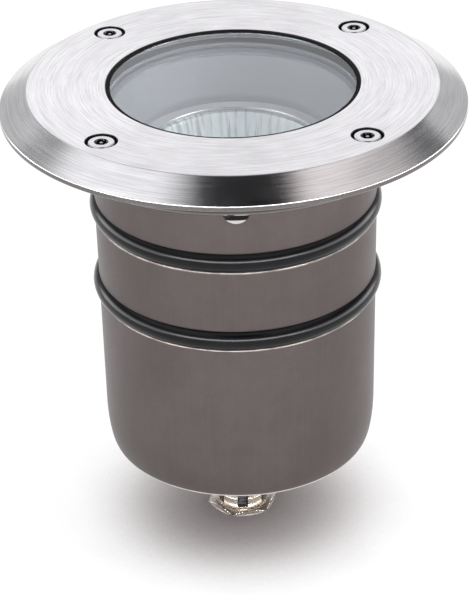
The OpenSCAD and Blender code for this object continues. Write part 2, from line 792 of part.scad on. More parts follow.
// A hexagonal nut with a slotted collar that points up
module gland_nut() {
    color([0.68, 0.67, 0.6]) difference() {
        union() {
            rotate(nut_hex_turn)
                hexagon(2 * (collar_r + nut_hex_w), nut_floor_z, nut_hex_top_z);
            disc(collar_r, nut_floor_z + nut_hex_t / 2, collar_top_z);
        }
        disc(nut_thread_r, thrust_z, collar_top_z + cut);
        disc(gland_bore_r, nut_floor_z - cut, thrust_z + cut);
        for (k = [0:slot_count - 1]) rotate(k * 360 / slot_count)
            translate([-slot_w / 2, -collar_r - cut, nut_hex_top_z + slot_rest])
                cube([slot_w, collar_r - nut_thread_r / 2, collar_h + cut]);
    }
}

trim_ring();
trim_screw_front_left();
trim_screw_front_right();
trim_screw_rear_left();
trim_screw_rear_right();
screw_seals();
glass_gasket_upper();
front_glass();
glass_gasket_lower();
body_flange();
body_can();
oring_upper();
oring_lower();
side_screw();
side_screw_washer();
side_weld_nut();
baffle();
lamp_clip_ring();
lamp_reflector();
lamp_cover_glass();
lamp_capsule();
lamp_base();
lamp_pins();
lamp_holder();
holder_bracket();
bracket_screws();
holder_screws();
lead_wires();
terminal_plate();
terminal_block();
terminal_screws();
terminal_fixing_screw();
gland_body();
gland_washer();
gland_locknut();
gland_seal();
gland_thrust_ring();
gland_nut();
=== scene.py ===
"""Submersible spotlight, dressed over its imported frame: trim ring, glass, lamp, can and cable gland."""

import json
import logging
import math
from collections.abc import Callable, Sequence
from dataclasses import dataclass
from enum import Enum

import bmesh
import bpy
from mathutils import Matrix, Vector

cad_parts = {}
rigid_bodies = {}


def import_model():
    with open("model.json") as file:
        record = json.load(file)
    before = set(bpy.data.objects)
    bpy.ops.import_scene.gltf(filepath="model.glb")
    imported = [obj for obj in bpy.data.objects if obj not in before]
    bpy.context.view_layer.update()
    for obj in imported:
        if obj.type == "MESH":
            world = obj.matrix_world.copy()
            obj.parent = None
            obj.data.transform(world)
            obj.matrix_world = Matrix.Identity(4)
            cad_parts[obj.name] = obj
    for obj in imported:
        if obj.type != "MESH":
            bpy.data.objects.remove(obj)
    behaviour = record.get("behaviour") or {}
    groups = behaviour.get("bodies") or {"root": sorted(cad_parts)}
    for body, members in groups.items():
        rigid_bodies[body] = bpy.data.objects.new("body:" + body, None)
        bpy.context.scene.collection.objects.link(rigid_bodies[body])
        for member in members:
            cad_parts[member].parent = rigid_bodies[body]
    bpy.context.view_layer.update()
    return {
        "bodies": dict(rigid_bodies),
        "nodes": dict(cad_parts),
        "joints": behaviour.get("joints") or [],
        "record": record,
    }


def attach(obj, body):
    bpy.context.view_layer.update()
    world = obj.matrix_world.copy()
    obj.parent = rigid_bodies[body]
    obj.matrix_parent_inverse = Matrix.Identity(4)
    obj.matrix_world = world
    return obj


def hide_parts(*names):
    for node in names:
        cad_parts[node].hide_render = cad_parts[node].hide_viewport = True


LOG = logging.getLogger("spotlight")
MM = 0.001
UV_NAME = "UVMap"
UV_MM = 100.0
WAVE_SHARE = "wave_share"
SHARP_DEG = 32.0
TINY = 1e-6
MOST_ROUNDED = 0.45
LEAST_FLAT = 2.4
SCREW_RING_R = 46.0
SCREW_XY = 32.527
SCREW_COUNT = 4
FIRST_SCREW_DEG = 45.0
M4_PITCH = 0.7
M4_THREAD_DEPTH = 0.16
THREAD_FADE = 0.5
ON_THREAD = 1e-3
WHITE = (1.0, 1.0, 1.0)

Colour = tuple[float, float, float]
Corner = tuple[float, float, float]
Spot = tuple[float, float]
Warp = Callable[[float, float, float], Spot]
Share = Callable[[float, float], float]
Edge = tuple[str, float, float]
Socket = bpy.types.NodeSocket
Piece = bpy.types.Object


class Body(Enum):
    """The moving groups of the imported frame."""

    HOUSING = "housing"
    TRIM = "trim"
    SCREW_FRONT_LEFT = "screw_front_left"
    SCREW_FRONT_RIGHT = "screw_front_right"
    SCREW_REAR_LEFT = "screw_rear_left"
    SCREW_REAR_RIGHT = "screw_rear_right"
    SIDE_PLUG = "side_plug"
    LAMP = "lamp"
    FOLLOWER = "gland_follower"
    CAP = "gland_cap"


def srgb(red: int, green: int, blue: int) -> Colour:
    """Turns a screen colour into a linear one.

    Args:
        red, green, blue: the screen colour, 0 to 255.

    Returns:
        The linear colour, 0 to 1.
    """
    def linear(value: float) -> float:
        """One channel, from 0-1 screen value to linear."""
        return value / 12.92 if value <= 0.04045 else ((value + 0.055) / 1.055) ** 2.4

    return (linear(red / 255), linear(green / 255), linear(blue / 255))


# Shading

class Nodes:
    """A node tree under construction, with short ways to add what the builders need."""

    def __init__(self, tree: bpy.types.NodeTree) -> None:
        """Takes the tree to add to."""
        self.tree = tree

    def feed(self, socket: Socket, value: object) -> None:
        """Sets a socket to a number or colour, or links another socket to it."""
        if isinstance(value, Socket):
            self.tree.links.new(value, socket)
        elif isinstance(value, tuple) and socket.type == "RGBA":
            socket.default_value = (*value, 1.0)
        else:
            socket.default_value = value

    def node(self, kind: str, **fed: object) -> bpy.types.Node:
        """Adds a node and feeds its inputs by name, with underscores for spaces."""
        made = self.tree.nodes.new(kind)
        for name, value in fed.items():
            self.feed(made.inputs[name.replace("_", " ")], value)
        return made

    def number(self, kind: str, first: object, second: object = 0.0) -> Socket:
        """Adds a Math node of that kind and returns its result."""
        made = self.node("ShaderNodeMath")
        made.operation = kind
        self.feed(made.inputs[0], first)
        self.feed(made.inputs[1], second)
        return made.outputs[0]

    def product(self, first: object, *others: object) -> Socket:
        """Multiplies numbers."""
        for other in others:
            first = self.number("MULTIPLY", first, other)
        return first

    def vector(self, kind: str, first: object, second: object = (0.0, 0.0, 0.0)) -> Socket:
        """Adds a Vector Math node of that kind and returns its vector."""
        made = self.node("ShaderNodeVectorMath")
        made.operation = kind
        self.feed(made.inputs[0], first)
        self.feed(made.inputs["Scale"] if kind == "SCALE" else made.inputs[1], second)
        return made.outputs[0]

    def joined(self, x: object, y: object, z: object) -> Socket:
        """Joins three numbers into a vector."""
        return self.node("ShaderNodeCombineXYZ", X=x, Y=y, Z=z).outputs[0]

    def parts(self, vector: Socket) -> tuple[Socket, ...]:
        """Splits a vector into its three numbers."""
        return tuple(self.node("ShaderNodeSeparateXYZ", Vector=vector).outputs)

    def spread(self, value: Socket, low: float, high: float, start: float = 0.0, end: float = 1.0,
               smooth: bool = False) -> Socket:
        """Maps a value between start and end to the range from low to high, clamped."""
        made = self.node("ShaderNodeMapRange", Value=value, From_Min=start, From_Max=end, To_Min=low,
                         To_Max=high)
        if smooth:
            made.interpolation_type = "SMOOTHSTEP"
        return made.outputs[0]

    def mixed(self, factor: object, first: object, second: object, kind: str = "MIX") -> Socket:
        """Mixes two colours by a factor."""
        made = self.node("ShaderNodeMix")
        made.data_type = "RGBA"
        made.blend_type = kind
        for index, value in ((0, factor), (6, first), (7, second)):
            self.feed(made.inputs[index], value)
        return made.outputs[2]


class Shade(Nodes):
    """One material's node tree round a principled shader."""

    def __init__(self, name: str) -> None:
        """Makes the material.

        Args:
            name: the material's name.
        """
        self.material = bpy.data.materials.new(name)
        self.material.use_nodes = True
        super().__init__(self.material.node_tree)
        self.tree.nodes.clear()
        self.bsdf = self.node("ShaderNodeBsdfPrincipled")
        self.out = self.node("ShaderNodeOutputMaterial", Surface=self.bsdf.outputs[0])

    def place(self) -> Socket:
        """The point's place in the part's frame, in millimetres."""
        return self.vector("MULTIPLY", self.node("ShaderNodeTexCoord").outputs["Object"], (1 / MM,) * 3)

    def turning(self, lines: float, around: float) -> Socket:
        """A vector that changes fast along a turned outline and slowly around it.

        Args:
            lines: pattern cells per millimetre of outline.
            around: pattern cells across the whole turn.

        Returns:
            The vector, without a seam where the turn closes.
        """
        node = self.node("ShaderNodeUVMap")
        node.uv_map = UV_NAME
        turn, along, _ = self.parts(node.outputs[0])
        angle = self.product(turn, math.tau)
        x, y = (self.product(self.number(kind, angle), around) for kind in ("COSINE", "SINE"))
        return self.joined(self.product(along, UV_MM * lines), x, y)

    def noise(self, vector: Socket, scale: float, detail: float = 2.0, rough: float = 0.5) -> Socket:
        """Adds a Noise Texture on that vector and returns its factor."""
        made = self.node("ShaderNodeTexNoise", Vector=vector, Scale=scale, Detail=detail, Roughness=rough)
        return made.outputs[0]

    def between(self, value: Socket, low: float, high: float, soft: float) -> Socket:
        """A mask that is one where a value lies between two limits, with soft ends."""
        return self.product(self.spread(value, 0.0, 1.0, low - soft, low + soft),
                            self.spread(value, 1.0, 0.0, high - soft, high + soft))

    def from_axis(self, xy: float = 0.0) -> Socket:
        """Distance in millimetres from the upright axes at (+-xy, +-xy)."""
        x, y, _ = self.parts(self.place())
        sides = [self.number("SUBTRACT", self.number("ABSOLUTE", part), xy) for part in (x, y)]
        return self.number("SQRT", self.number("ADD", *(self.product(side, side) for side in sides)))

    def bump(self, height: Socket, depth: float, strength: float = 1.0) -> None:
        """Puts a bump of a depth in millimetres on the shader's normal."""
        node = self.node("ShaderNodeBump", Strength=strength, Distance=depth * MM, Height=height)
        self.set(Normal=node.outputs[0])

    def set(self, **values: object) -> None:
        """Feeds the principled shader's inputs, named with underscores for spaces."""
        for name, value in values.items():
            self.feed(self.bsdf.inputs[name.replace("_", " ")], value)

    def turn_grain(self, strength: float) -> None:
        """Lets the gloss spread across the turning lines."""
        node = self.node("ShaderNodeTangent")
        node.direction_type = "UV_MAP"
        node.uv_map = UV_NAME
        self.set(Tangent=node.outputs[0], Anisotropic=strength, Anisotropic_Rotation=0.25)

    def blend(self, factor: Socket, shader: Socket) -> None:
        """Ends the tree in a mix of the principled shader and another one."""
        node = self.node("ShaderNodeMixShader")
        for socket, value in zip(node.inputs, (factor, self.bsdf.outputs[0], shader)):
            self.feed(socket, value)
        self.feed(self.out.inputs[0], node.outputs[0])


@dataclass(frozen=True)
class Zone:
    """Where a finish's colour changes, mostly for painted shade and painted highlights: between two distances
    from upright axes at (+-xy, +-xy) and two heights.
    """

    r: Spot
    z: Spot
    # near black by default, the colour of painted shade
    colour: Colour = (0.006, 0.006, 0.007)
    metal: float = 0.0
    xy: float = 0.0
    soft: float = 0.06
    patchy: float = 0.0

    def mask(self, shade: Shade) -> Socket:
        """One inside the zone and zero outside, fading in patches where the zone is patchy."""
        inside = shade.product(shade.between(shade.from_axis(self.xy), *self.r, self.soft),
                               shade.between(shade.parts(shade.place())[2], *self.z, self.soft))
        if self.patchy == 0.0:
            return inside
        # patches that fade a patchy zone; on the can they break up light bands that are partly worn metal and
        # partly painted highlight
        worn = shade.spread(shade.noise(shade.place(), 0.16, 3.0, 0.6), 1.0 - self.patchy, 1.0, 0.4, 0.6)
        return shade.product(inside, worn)


@dataclass(frozen=True)
class Finish:
    """What every finish has: a name, the record's slot, a main colour, a roughness and its zones."""

    name: str
    slot: str
    colour: Colour
    roughness: float
    zones: tuple[Zone, ...] = ()

    def material(self) -> bpy.types.Material:
        """Returns the finish's material, made the first time it is asked for."""
        made = bpy.data.materials.get(self.name)
        if made is None:
            shade = Shade(self.name)
            self.dress(shade)
            made = shade.material
        return made

    def tinted(self, share: float) -> Colour:
        """The main colour times a share."""
        return tuple(min(1.0, c * share) for c in self.colour)

    def zoned(self, shade: Shade, tone: object, metal: object) -> tuple[object, object]:
        """Lays the finish's zones, mostly painted shade and painted highlights, over a tone.

        Args:
            shade: the node tree.
            tone: the base colour so far.
            metal: the metallic share so far.

        Returns:
            The base colour and the metallic share with the zones.
        """
        for zone in self.zones:
            mask = zone.mask(shade)
            tone = shade.mixed(mask, tone, zone.colour)
            drop = shade.product(mask, 1.0 - zone.metal)
            metal = shade.number("MAXIMUM", shade.number("SUBTRACT", metal, drop), 0.0)
        return tone, metal

    def dress(self, shade: Shade) -> None:
        """Fills the node tree; every kind of finish has its own way."""
        raise NotImplementedError


@dataclass(frozen=True)
class TurnedSteel(Finish):
    """Metal with fine lines that run round it, as a lathe or a rotating pad leaves them."""

    lines: float = 5.0
    contrast: float = 0.08
    grain: float = 0.6
    depth: float = 0.004
    streaks: float = 0.05

    def dress(self, shade: Shade) -> None:
        """Fine lines, broader turned bands and a few rubbed streaks."""
        fine = shade.noise(shade.turning(self.lines, 3.0), 1.0, 3.0, 0.7)
        bands = shade.noise(shade.turning(self.lines * 0.18, 5.0), 1.0, 2.0)
        rubbed = shade.noise(shade.place(), 0.09, 3.0, 0.6)
        tone = shade.mixed(shade.spread(fine, 0.0, 1.0, 0.3, 0.7),
                           self.tinted(1.0 - self.contrast), self.tinted(1.0 + self.contrast * 0.5))
        tone = shade.mixed(shade.spread(bands, 0.0, 1.0, 0.35, 0.65), tone,
                           shade.mixed(1.0, tone, (1.0 - self.streaks,) * 3, "MULTIPLY"))
        rough = shade.number("ADD", shade.spread(fine, self.roughness * 0.85, self.roughness * 1.15),
                             shade.spread(rubbed, -0.02, 0.04, 0.3, 0.7))
        tone, metal = self.zoned(shade, tone, 1.0)
        shade.set(Base_Color=tone, Metallic=metal, Roughness=rough)
        shade.turn_grain(self.grain)
        shade.bump(fine, self.depth)


@dataclass(frozen=True)
class CoatedSteel(Finish):
    """Painted spring steel, worn bright along its inner edge."""

    bare: Colour = (0.8, 0.82, 0.85)
    bare_r: float = 22.95

    def dress(self, shade: Shade) -> None:
        """Grey paint, with bare metal inside a radius."""
        place = shade.place()
        clouds = shade.noise(place, 0.3, 2.0)
        bare = shade.spread(shade.number("ADD", shade.from_axis(), shade.product(clouds, 0.2)),
                            1.0, 0.0, self.bare_r, self.bare_r + 0.2)
        paint = shade.mixed(clouds, self.tinted(0.96), self.tinted(1.04))
        shade.set(Base_Color=shade.mixed(bare, paint, self.bare), Metallic=bare,
                  Roughness=shade.spread(bare, self.roughness, 0.22))
        shade.bump(shade.noise(place, 2.0, 2.0), 0.01)


@dataclass(frozen=True)
class SatinSteel(Finish):
    """Drawn sheet steel with a dull, cloudy, slightly warm surface."""

    cloud: Colour = (0.2, 0.19, 0.18)
    grain_mm: float = 0.35
    depth: float = 0.006

    def dress(self, shade: Shade) -> None:
        """Fine blasted grain over soft clouds and faint drawing lines."""
        place = shade.place()
        x, y, z = shade.parts(place)
        grain = shade.noise(place, 1.0 / self.grain_mm, 3.0, 0.6)
        clouds = shade.noise(place, 0.035, 3.0, 0.55)
        blotch = shade.noise(place, 0.22, 4.0, 0.65)
        drawn = shade.noise(shade.joined(x, y, shade.product(z, 0.03)), 0.9, 2.0)
        tone = shade.mixed(shade.spread(clouds, 0.0, 1.0, 0.3, 0.7), self.colour, self.cloud)
        tone = shade.mixed(shade.spread(blotch, 0.0, 0.35, 0.35, 0.7), tone, self.tinted(0.68))
        tone = shade.mixed(shade.spread(grain, 0.0, 0.14, 0.35, 0.75), tone, self.tinted(0.55))
        tone = shade.mixed(shade.spread(drawn, 0.0, 0.05, 0.4, 0.7), tone, self.tinted(1.5))
        tone, metal = self.zoned(shade, tone, 1.0)
        shade.set(Base_Color=tone, Metallic=metal,
                  Roughness=shade.spread(grain, self.roughness * 0.9, self.roughness * 1.12, 0.3, 0.7))
        shade.bump(grain, self.depth)


@dataclass(frozen=True)
class Rubber(Finish):
    """Moulded rubber with a faint bloom of dust."""

    bloom: float = 0.05
    gloss: float = 0.5

    def dress(self, shade: Shade) -> None:
        """A matt skin with fine grain and paler dusty patches."""
        place = shade.place()
        grain = shade.noise(place, 3.0, 3.0, 0.6)
        dust = shade.noise(place, 0.12, 3.0, 0.6)
        tone = shade.mixed(shade.spread(dust, 0.0, self.bloom, 0.4, 0.75), self.colour, (0.3, 0.31, 0.34))
        shade.set(Base_Color=tone, Roughness=shade.spread(grain, self.roughness * 0.85, self.roughness * 1.2),
                  Specular_IOR_Level=self.gloss)
        shade.bump(grain, 0.012)


@dataclass(frozen=True)
class ClearGlass(Finish):
    """Clear glass that lets lamp light through to what is behind it."""

    shadow_tint: Colour = (0.93, 0.95, 0.95)

    def dress(self, shade: Shade) -> None:
        """Clear glass with the faintest ripple, see-through for shadow rays."""
        ripple = shade.noise(shade.place(), 0.05, 1.0)
        shade.set(Base_Color=self.colour, Roughness=self.roughness, IOR=1.5, Transmission_Weight=1.0)
        shade.bump(ripple, 0.02, 0.2)
        path = shade.node("ShaderNodeLightPath")
        clear = shade.node("ShaderNodeBsdfTransparent", Color=self.shadow_tint)
        shade.blend(path.outputs["Is Shadow Ray"], clear.outputs[0])


@dataclass(frozen=True)
class Paint(Finish):
    """A sprayed coat with a little orange peel."""

    peel: float = 0.02

    def dress(self, shade: Shade) -> None:
        """An even tone with fine peel and very soft clouds."""
        place = shade.place()
        peel = shade.noise(place, 1.6, 2.0)
        clouds = shade.noise(place, 0.06, 2.0)
        shade.set(Base_Color=shade.mixed(clouds, self.tinted(0.95), self.tinted(1.05)),
                  Roughness=shade.spread(peel, self.roughness * 0.9, self.roughness * 1.1),
                  Coat_Weight=0.15, Coat_Roughness=0.25)
        shade.bump(peel, self.peel)


@dataclass(frozen=True)
class MirrorCoat(Finish):
    """The bright, slightly bluish coat inside a reflector."""

    blue: Colour = (0.86, 0.93, 0.97)
    # colour of the painted shade streaks down the flutes
    dull: Colour = (0.40, 0.47, 0.52)
    satin: float = 0.9

    def dress(self, shade: Shade) -> None:
        """A vapour-coated, partly satin mirror with uneven streaks of painted shade down its flutes."""
        place = shade.place()
        drift = shade.noise(place, 0.25, 2.0)
        specks = shade.noise(place, 2.5, 2.0)
        streaks = shade.noise(shade.turning(0.05, 17.0), 1.0, 3.0, 0.6)
        tone = shade.mixed(shade.spread(drift, 0.0, 0.6, 0.35, 0.65), self.colour, self.blue)
        tone = shade.mixed(shade.spread(streaks, 0.9, 0.0, 0.37, 0.48), tone, self.dull)
        shade.set(Base_Color=tone, Metallic=1.0 - self.satin,
                  Roughness=shade.spread(specks, self.roughness * 0.8, self.roughness * 1.3))
        shade.bump(specks, 0.01)


@dataclass(frozen=True)
class Finishes:
    """All finishes of the spotlight, by the piece that wears them."""

    ring: Finish = TurnedSteel(
        "ring_brushed_steel", "ring_steel", srgb(246, 244, 246), 0.175, lines=3.0, contrast=0.24, grain=0.85,
        depth=0.006, streaks=0.08, zones=(
            # painted shade: near-black round the screw heads in the counterbores, and a near-black painted
            # shadow line round the opening's edge
            Zone((3.0, 4.2), (1.5, 5.98), xy=SCREW_XY), Zone((0.0, 32.75), (4.0, 7.0)),
            # painted shade: the rim's outer wall is a darker copy of the steel, so that it reflects darker than
            # the bright floor makes it
            Zone((59.92, 61.0), (-1.0, 1.25), srgb(118, 113, 112), 1.0)))
    flange: Finish = TurnedSteel(
        "flange_turned_steel", "body_steel", srgb(226, 222, 220), 0.3, lines=2.5, contrast=0.12, grain=0.5,
        zones=(
            # painted shade: the flange's outer wall is darkened under the trim ring, and its lower bevel is
            # less dark
            Zone((49.8, 51.0), (-5.75, 1.0), srgb(70, 66, 64), 0.6),
            Zone((49.8, 51.0), (-6.5, -5.7), srgb(130, 125, 121), 1.0),
            # painted shade: the ledge's inner wall is a flat grey in place of steel, standing in for its shade
            # under the glass
            Zone((32.0, 32.6), (-7.0, -4.2), srgb(128, 131, 137))))
    can: Finish = SatinSteel(
        "can_satin_steel", "body_steel", srgb(106, 97, 97), 0.42, cloud=srgb(95, 88, 85), zones=(
            # painted shadow: a near-black band round the can's top, under the flange
            Zone((30.0, 60.0), (-7.3, -5.0)),
            # light, patchy metal band under each groove's lower lip: partly worn bare metal, partly a painted
            # highlight
            Zone((36.4, 60.0), (-29.95, -29.2), srgb(158, 151, 144), 1.0, patchy=0.8),
            Zone((36.2, 60.0), (-52.6, -51.85), srgb(158, 151, 144), 1.0, patchy=0.8),
            # painted highlight: a light metal band round the bottom corner, broken by a little wear
            Zone((33.0, 35.6), (-99.0, -97.7), srgb(244, 240, 236), 1.0, patchy=0.25)))
    screw: Finish = TurnedSteel(
        "screw_bright_steel", "screw_steel", srgb(232, 231, 233), 0.2, lines=6.0, contrast=0.06, grain=0.3,
        depth=0.002, zones=(
            # painted shade: near-black inside the star sockets, up to their edges
            Zone((-1.0, 1.83), (3.0, 5.62), xy=SCREW_XY), Zone((0.7, 1.8), (3.0, 7.0), xy=SCREW_XY)))
    side_screw: Finish = TurnedSteel(
        "side_screw_dull_steel", "screw_steel", srgb(222, 217, 215), 0.22, lines=4.0, contrast=0.1, grain=0.2,
        zones=(
            # painted shadow: a dark band across the lower part of the head's face; painted shade: near-black
            # deep in the slot and on the head's sides
            Zone((38.9, 40.0), (-13.3, -11.9), srgb(30, 27, 26), 0.8), Zone((37.8, 38.98), (-14.3, -7.9))))
    nickel: Finish = TurnedSteel(
        "gland_nickel", "gland_metal", srgb(228, 220, 209), 0.26, lines=3.0, contrast=0.12, grain=0.2, zones=(
            # painted shade: near-black on the spout's thread where it shows through the nut's slots
            Zone((4.6, 5.64), (-121.4, -117.2)),
            # painted highlight: a light, part-diffuse band round the nut's lower edge
            Zone((8.3, 12.0), (-123.2, -122.25), srgb(238, 234, 228), 0.4)))
    rubber: Finish = Rubber("ring_black_rubber", "black_rubber", srgb(6, 6, 9), 0.16, bloom=0.012, gloss=0.24)
    gasket: Finish = Rubber("gasket_black_rubber", "black_rubber", srgb(5, 5, 6), 0.6, bloom=0.0, gloss=0.12)
    seat_gasket: Finish = Rubber("gasket_grey_silicone", "grey_silicone", srgb(154, 156, 164), 0.5, bloom=0.0)
    lead: Finish = Rubber("lead_white_silicone", "lead_silicone", srgb(214, 210, 198), 0.5, bloom=0.1)
    glass: Finish = ClearGlass("front_clear_glass", "clear_glass", (0.975, 0.99, 0.985), 0.0)
    lamp_glass: Finish = ClearGlass("lamp_thin_glass", "lamp_glass", (0.98, 0.99, 0.99), 0.0)
    ground: Finish = Paint("glass_ground_edge", "clear_glass", srgb(152, 154, 160), 0.7)
    baffle: Finish = Paint("baffle_grey_paint", "baffle_paint", srgb(128, 133, 141), 0.45)
    ceramic: Finish = Paint("white_ceramic", "ceramic_white", srgb(226, 222, 212), 0.55, peel=0.03)
    block: Finish = Paint("terminal_block_plastic", "block_plastic", srgb(222, 219, 208), 0.4, peel=0.01)
    mirror: Finish = MirrorCoat("reflector_mirror_coat", "mirror_coat", srgb(250, 253, 255), 0.16)
    clip: Finish = CoatedSteel("clip_coated_steel", "spring_steel", srgb(158, 163, 170), 0.45)
    strap: Finish = SatinSteel("strap_sheet_steel", "strap_steel", srgb(180, 180, 182), 0.35,
                               cloud=srgb(168, 167, 168), depth=0.004)
    spring: Finish = SatinSteel("clip_spring_steel", "spring_steel", srgb(205, 205, 203), 0.25,
                                cloud=srgb(190, 190, 188), depth=0.002)
    pins: Finish = SatinSteel("pin_metal", "pin_metal", srgb(196, 184, 150), 0.3, cloud=srgb(180, 165, 130),
                              depth=0.002)
    brass: Finish = SatinSteel("terminal_brass", "terminal_brass", srgb(198, 170, 96), 0.3,
                               cloud=srgb(182, 150, 80), depth=0.002)


# Meshes

def softened(corners: Sequence[Corner], steps: int = 5, hold: float = 0.12) -> list[Spot]:
    """Rounds the corners of a closed outline.

    Args:
        corners: radius, height and reach of the rounding at each corner, in millimetres.
        steps: points in each rounding, less one.
        hold: distance of the extra point that keeps the flats flat beside a rounding.

    Returns:
        The outline's points, as radius and height.
    """
    count = len(corners)
    path: list[Spot] = []
    for i, (r, z, reach) in enumerate(corners):
        here = Vector((r, z))
        back = Vector(corners[i - 1][:2]) - here
        ahead = Vector(corners[(i + 1) % count][:2]) - here
        if reach <= 0 or min(back.length, ahead.length) < TINY:
            path.append((r, z))
            continue
        to_back, to_ahead = (min(reach, edge.length * MOST_ROUNDED) for edge in (back, ahead))
        start, end = here + back.normalized() * to_back, here + ahead.normalized() * to_ahead
        if back.length > LEAST_FLAT * (to_back + hold):
            path.append(tuple(start + back.normalized() * hold))
        for k in range(steps + 1):
            t = k / steps
            path.append(tuple(start * (1 - t) ** 2 + here * 2 * t * (1 - t) + end * t ** 2))
        if ahead.length > LEAST_FLAT * (to_ahead + hold):
            path.append(tuple(end + ahead.normalized() * hold))
    return path


def lathe(name: str, path: Sequence[Spot], segments: int = 192, warp: Warp | None = None,
          share: Share | None = None) -> Piece:
    """Turns a closed outline round the upright axis into a closed mesh.

    Args:
        name: the new object's name.
        path: the outline, as radius and height in millimetres.
        segments: steps round the axis.
        warp: moves a point, from its radius, height and angle to a radius and height.
        share: how much of a wave each point takes, from its radius and height.

    Returns:
        The object, with a UV map: turn share, and outline length in decimetres.
    """
    bm = bmesh.new()
    waves = bm.verts.layers.float.new(WAVE_SHARE)
    uv = bm.loops.layers.uv.new(UV_NAME)
    rings: list[list[bmesh.types.BMVert]] = []
    for r, z in path:
        if r < TINY:
            rings.append([bm.verts.new((0.0, 0.0, z * MM))] * segments)
            continue
        ring = []
        for k in range(segments):
            angle = math.tau * k / segments
            rr, zz = warp(r, z, angle) if warp else (r, z)
            vert = bm.verts.new((rr * math.cos(angle) * MM, rr * math.sin(angle) * MM, zz * MM))
            vert[waves] = share(r, z) if share else 0.0
            ring.append(vert)
        rings.append(ring)
    along = [0.0]
    for i in range(len(path)):
        j = (i + 1) % len(path)
        along.append(along[-1] + math.dist(path[i], path[j]) / UV_MM)
        if max(path[i][0], path[j][0]) < TINY:
            continue
        for k in range(segments):
            n = (k + 1) % segments
            spots = ((rings[i][k], k, along[i]), (rings[i][n], k + 1, along[i]),
                     (rings[j][n], k + 1, along[i + 1]), (rings[j][k], k, along[i + 1]))
            corner: dict[bmesh.types.BMVert, Spot] = {}
            for vert, turn, length in spots:
                corner.setdefault(vert, (turn / segments, length))
            face = bm.faces.new(list(corner))
            for loop in face.loops:
                loop[uv].uv = corner[loop.vert]
    bmesh.ops.recalc_face_normals(bm, faces=bm.faces)
    return as_object(name, bm)


def as_object(name: str, bm: bmesh.types.BMesh) -> Piece:
    """Puts a finished bmesh into a new object of the scene."""
    mesh = bpy.data.meshes.new(name)
    bm.to_mesh(mesh)
    bm.free()
    made = bpy.data.objects.new(name, mesh)
    bpy.context.scene.collection.objects.link(made)
    return made


def box_between(name: str, low: Sequence[float], high: Sequence[float]) -> Piece:
    """A closed block between two corners in millimetres, for cutting."""
    bm = bmesh.new()
    bmesh.ops.create_cube(bm, size=1.0)
    for vert in bm.verts:
        for i in range(3):
            vert.co[i] = (low[i] if vert.co[i] < 0 else high[i]) * MM
    return as_object(name, bm)


def applied(piece: Piece) -> Piece:
    """Turns the piece's modifiers into plain mesh."""
    graph = bpy.context.evaluated_depsgraph_get()
    mesh = bpy.data.meshes.new_from_object(piece.evaluated_get(graph))
    piece.modifiers.clear()
    old, piece.data = piece.data, mesh
    bpy.data.meshes.remove(old)
    return piece


def cut_from(piece: Piece, cutter: Piece) -> Piece:
    """Cuts a closed mesh out of a piece and removes it.

    Args:
        piece: the piece to cut.
        cutter: the mesh to take away.

    Returns:
        The same piece.
    """
    modifier = piece.modifiers.new("cut", "BOOLEAN")
    modifier.operation = "DIFFERENCE"
    modifier.solver = "EXACT"
    modifier.object = cutter
    applied(piece)
    bpy.data.objects.remove(cutter)
    return piece


def cut_around(piece: Piece, cutter: Piece, count: int, radius: float, start_deg: float = 0.0) -> Piece:
    """Cuts a mesh out of a piece at even places on a circle.

    Args:
        piece: the piece to cut.
        cutter: the mesh to take away, drawn at the origin.
        count: how many cuts there are.
        radius: the circle's radius in millimetres.
        start_deg: where the first one stands.

    Returns:
        The same piece.
    """
    return cut_from(piece, copies(f"{cutter.name}_set", cutter, None, count, radius, start_deg))


# Geometry nodes

class Growth(Nodes):
    """A Geometry Nodes tree under construction."""

    def __init__(self, name: str, inputs: Sequence[tuple[str, str]]) -> None:
        """Starts a tree.

        Args:
            name: the tree's name.
            inputs: name and socket kind of each input, after the geometry.
        """
        super().__init__(bpy.data.node_groups.new(name, "GeometryNodeTree"))
        self.tree.is_modifier = True
        for label, kind in (("Geometry", "Geometry"), *inputs):
            self.tree.interface.new_socket(name=label, in_out="INPUT", socket_type=f"NodeSocket{kind}")
        self.tree.interface.new_socket(name="Geometry", in_out="OUTPUT", socket_type="NodeSocketGeometry")
        self.inputs = self.node("NodeGroupInput").outputs
        self.outputs = self.node("NodeGroupOutput").inputs

    def close(self, geometry: Socket) -> bpy.types.NodeTree:
        """Ends the tree in Realize Instances and Set Material, and returns it."""
        real = self.node("GeometryNodeRealizeInstances", Geometry=geometry)
        dressed = self.node("GeometryNodeSetMaterial", Geometry=real.outputs[0],
                            Material=self.inputs["Finish"])
        self.feed(self.outputs[0], dressed.outputs[0])
        return self.tree


def ring_of_copies() -> bpy.types.NodeTree:
    """Returns the tree that sets copies of a pattern evenly on a circle, made once."""
    made = bpy.data.node_groups.get("ring_of_copies")
    if made:
        return made
    tree = Growth("ring_of_copies", (("Pattern", "Object"), ("Count", "Int"), ("Radius", "Float"),
                                     ("Start", "Float"), ("Spin", "Float"), ("Finish", "Material")))
    pattern = tree.node("GeometryNodeObjectInfo", Object=tree.inputs["Pattern"])
    index = tree.node("GeometryNodeInputIndex").outputs[0]
    step = tree.number("DIVIDE", math.tau, tree.inputs["Count"])
    angle = tree.number("ADD", tree.product(index, step), tree.inputs["Start"])
    x, y = (tree.product(tree.number(kind, angle), tree.inputs["Radius"]) for kind in ("COSINE", "SINE"))
    points = tree.node("GeometryNodePoints", Count=tree.inputs["Count"], Position=tree.joined(x, y, 0.0))
    turn = tree.joined(0.0, 0.0, tree.number("ADD", angle, tree.inputs["Spin"]))
    placed = tree.node("GeometryNodeInstanceOnPoints", Points=points.outputs[0],
                       Instance=pattern.outputs["Geometry"], Rotation=turn)
    return tree.close(placed.outputs[0])


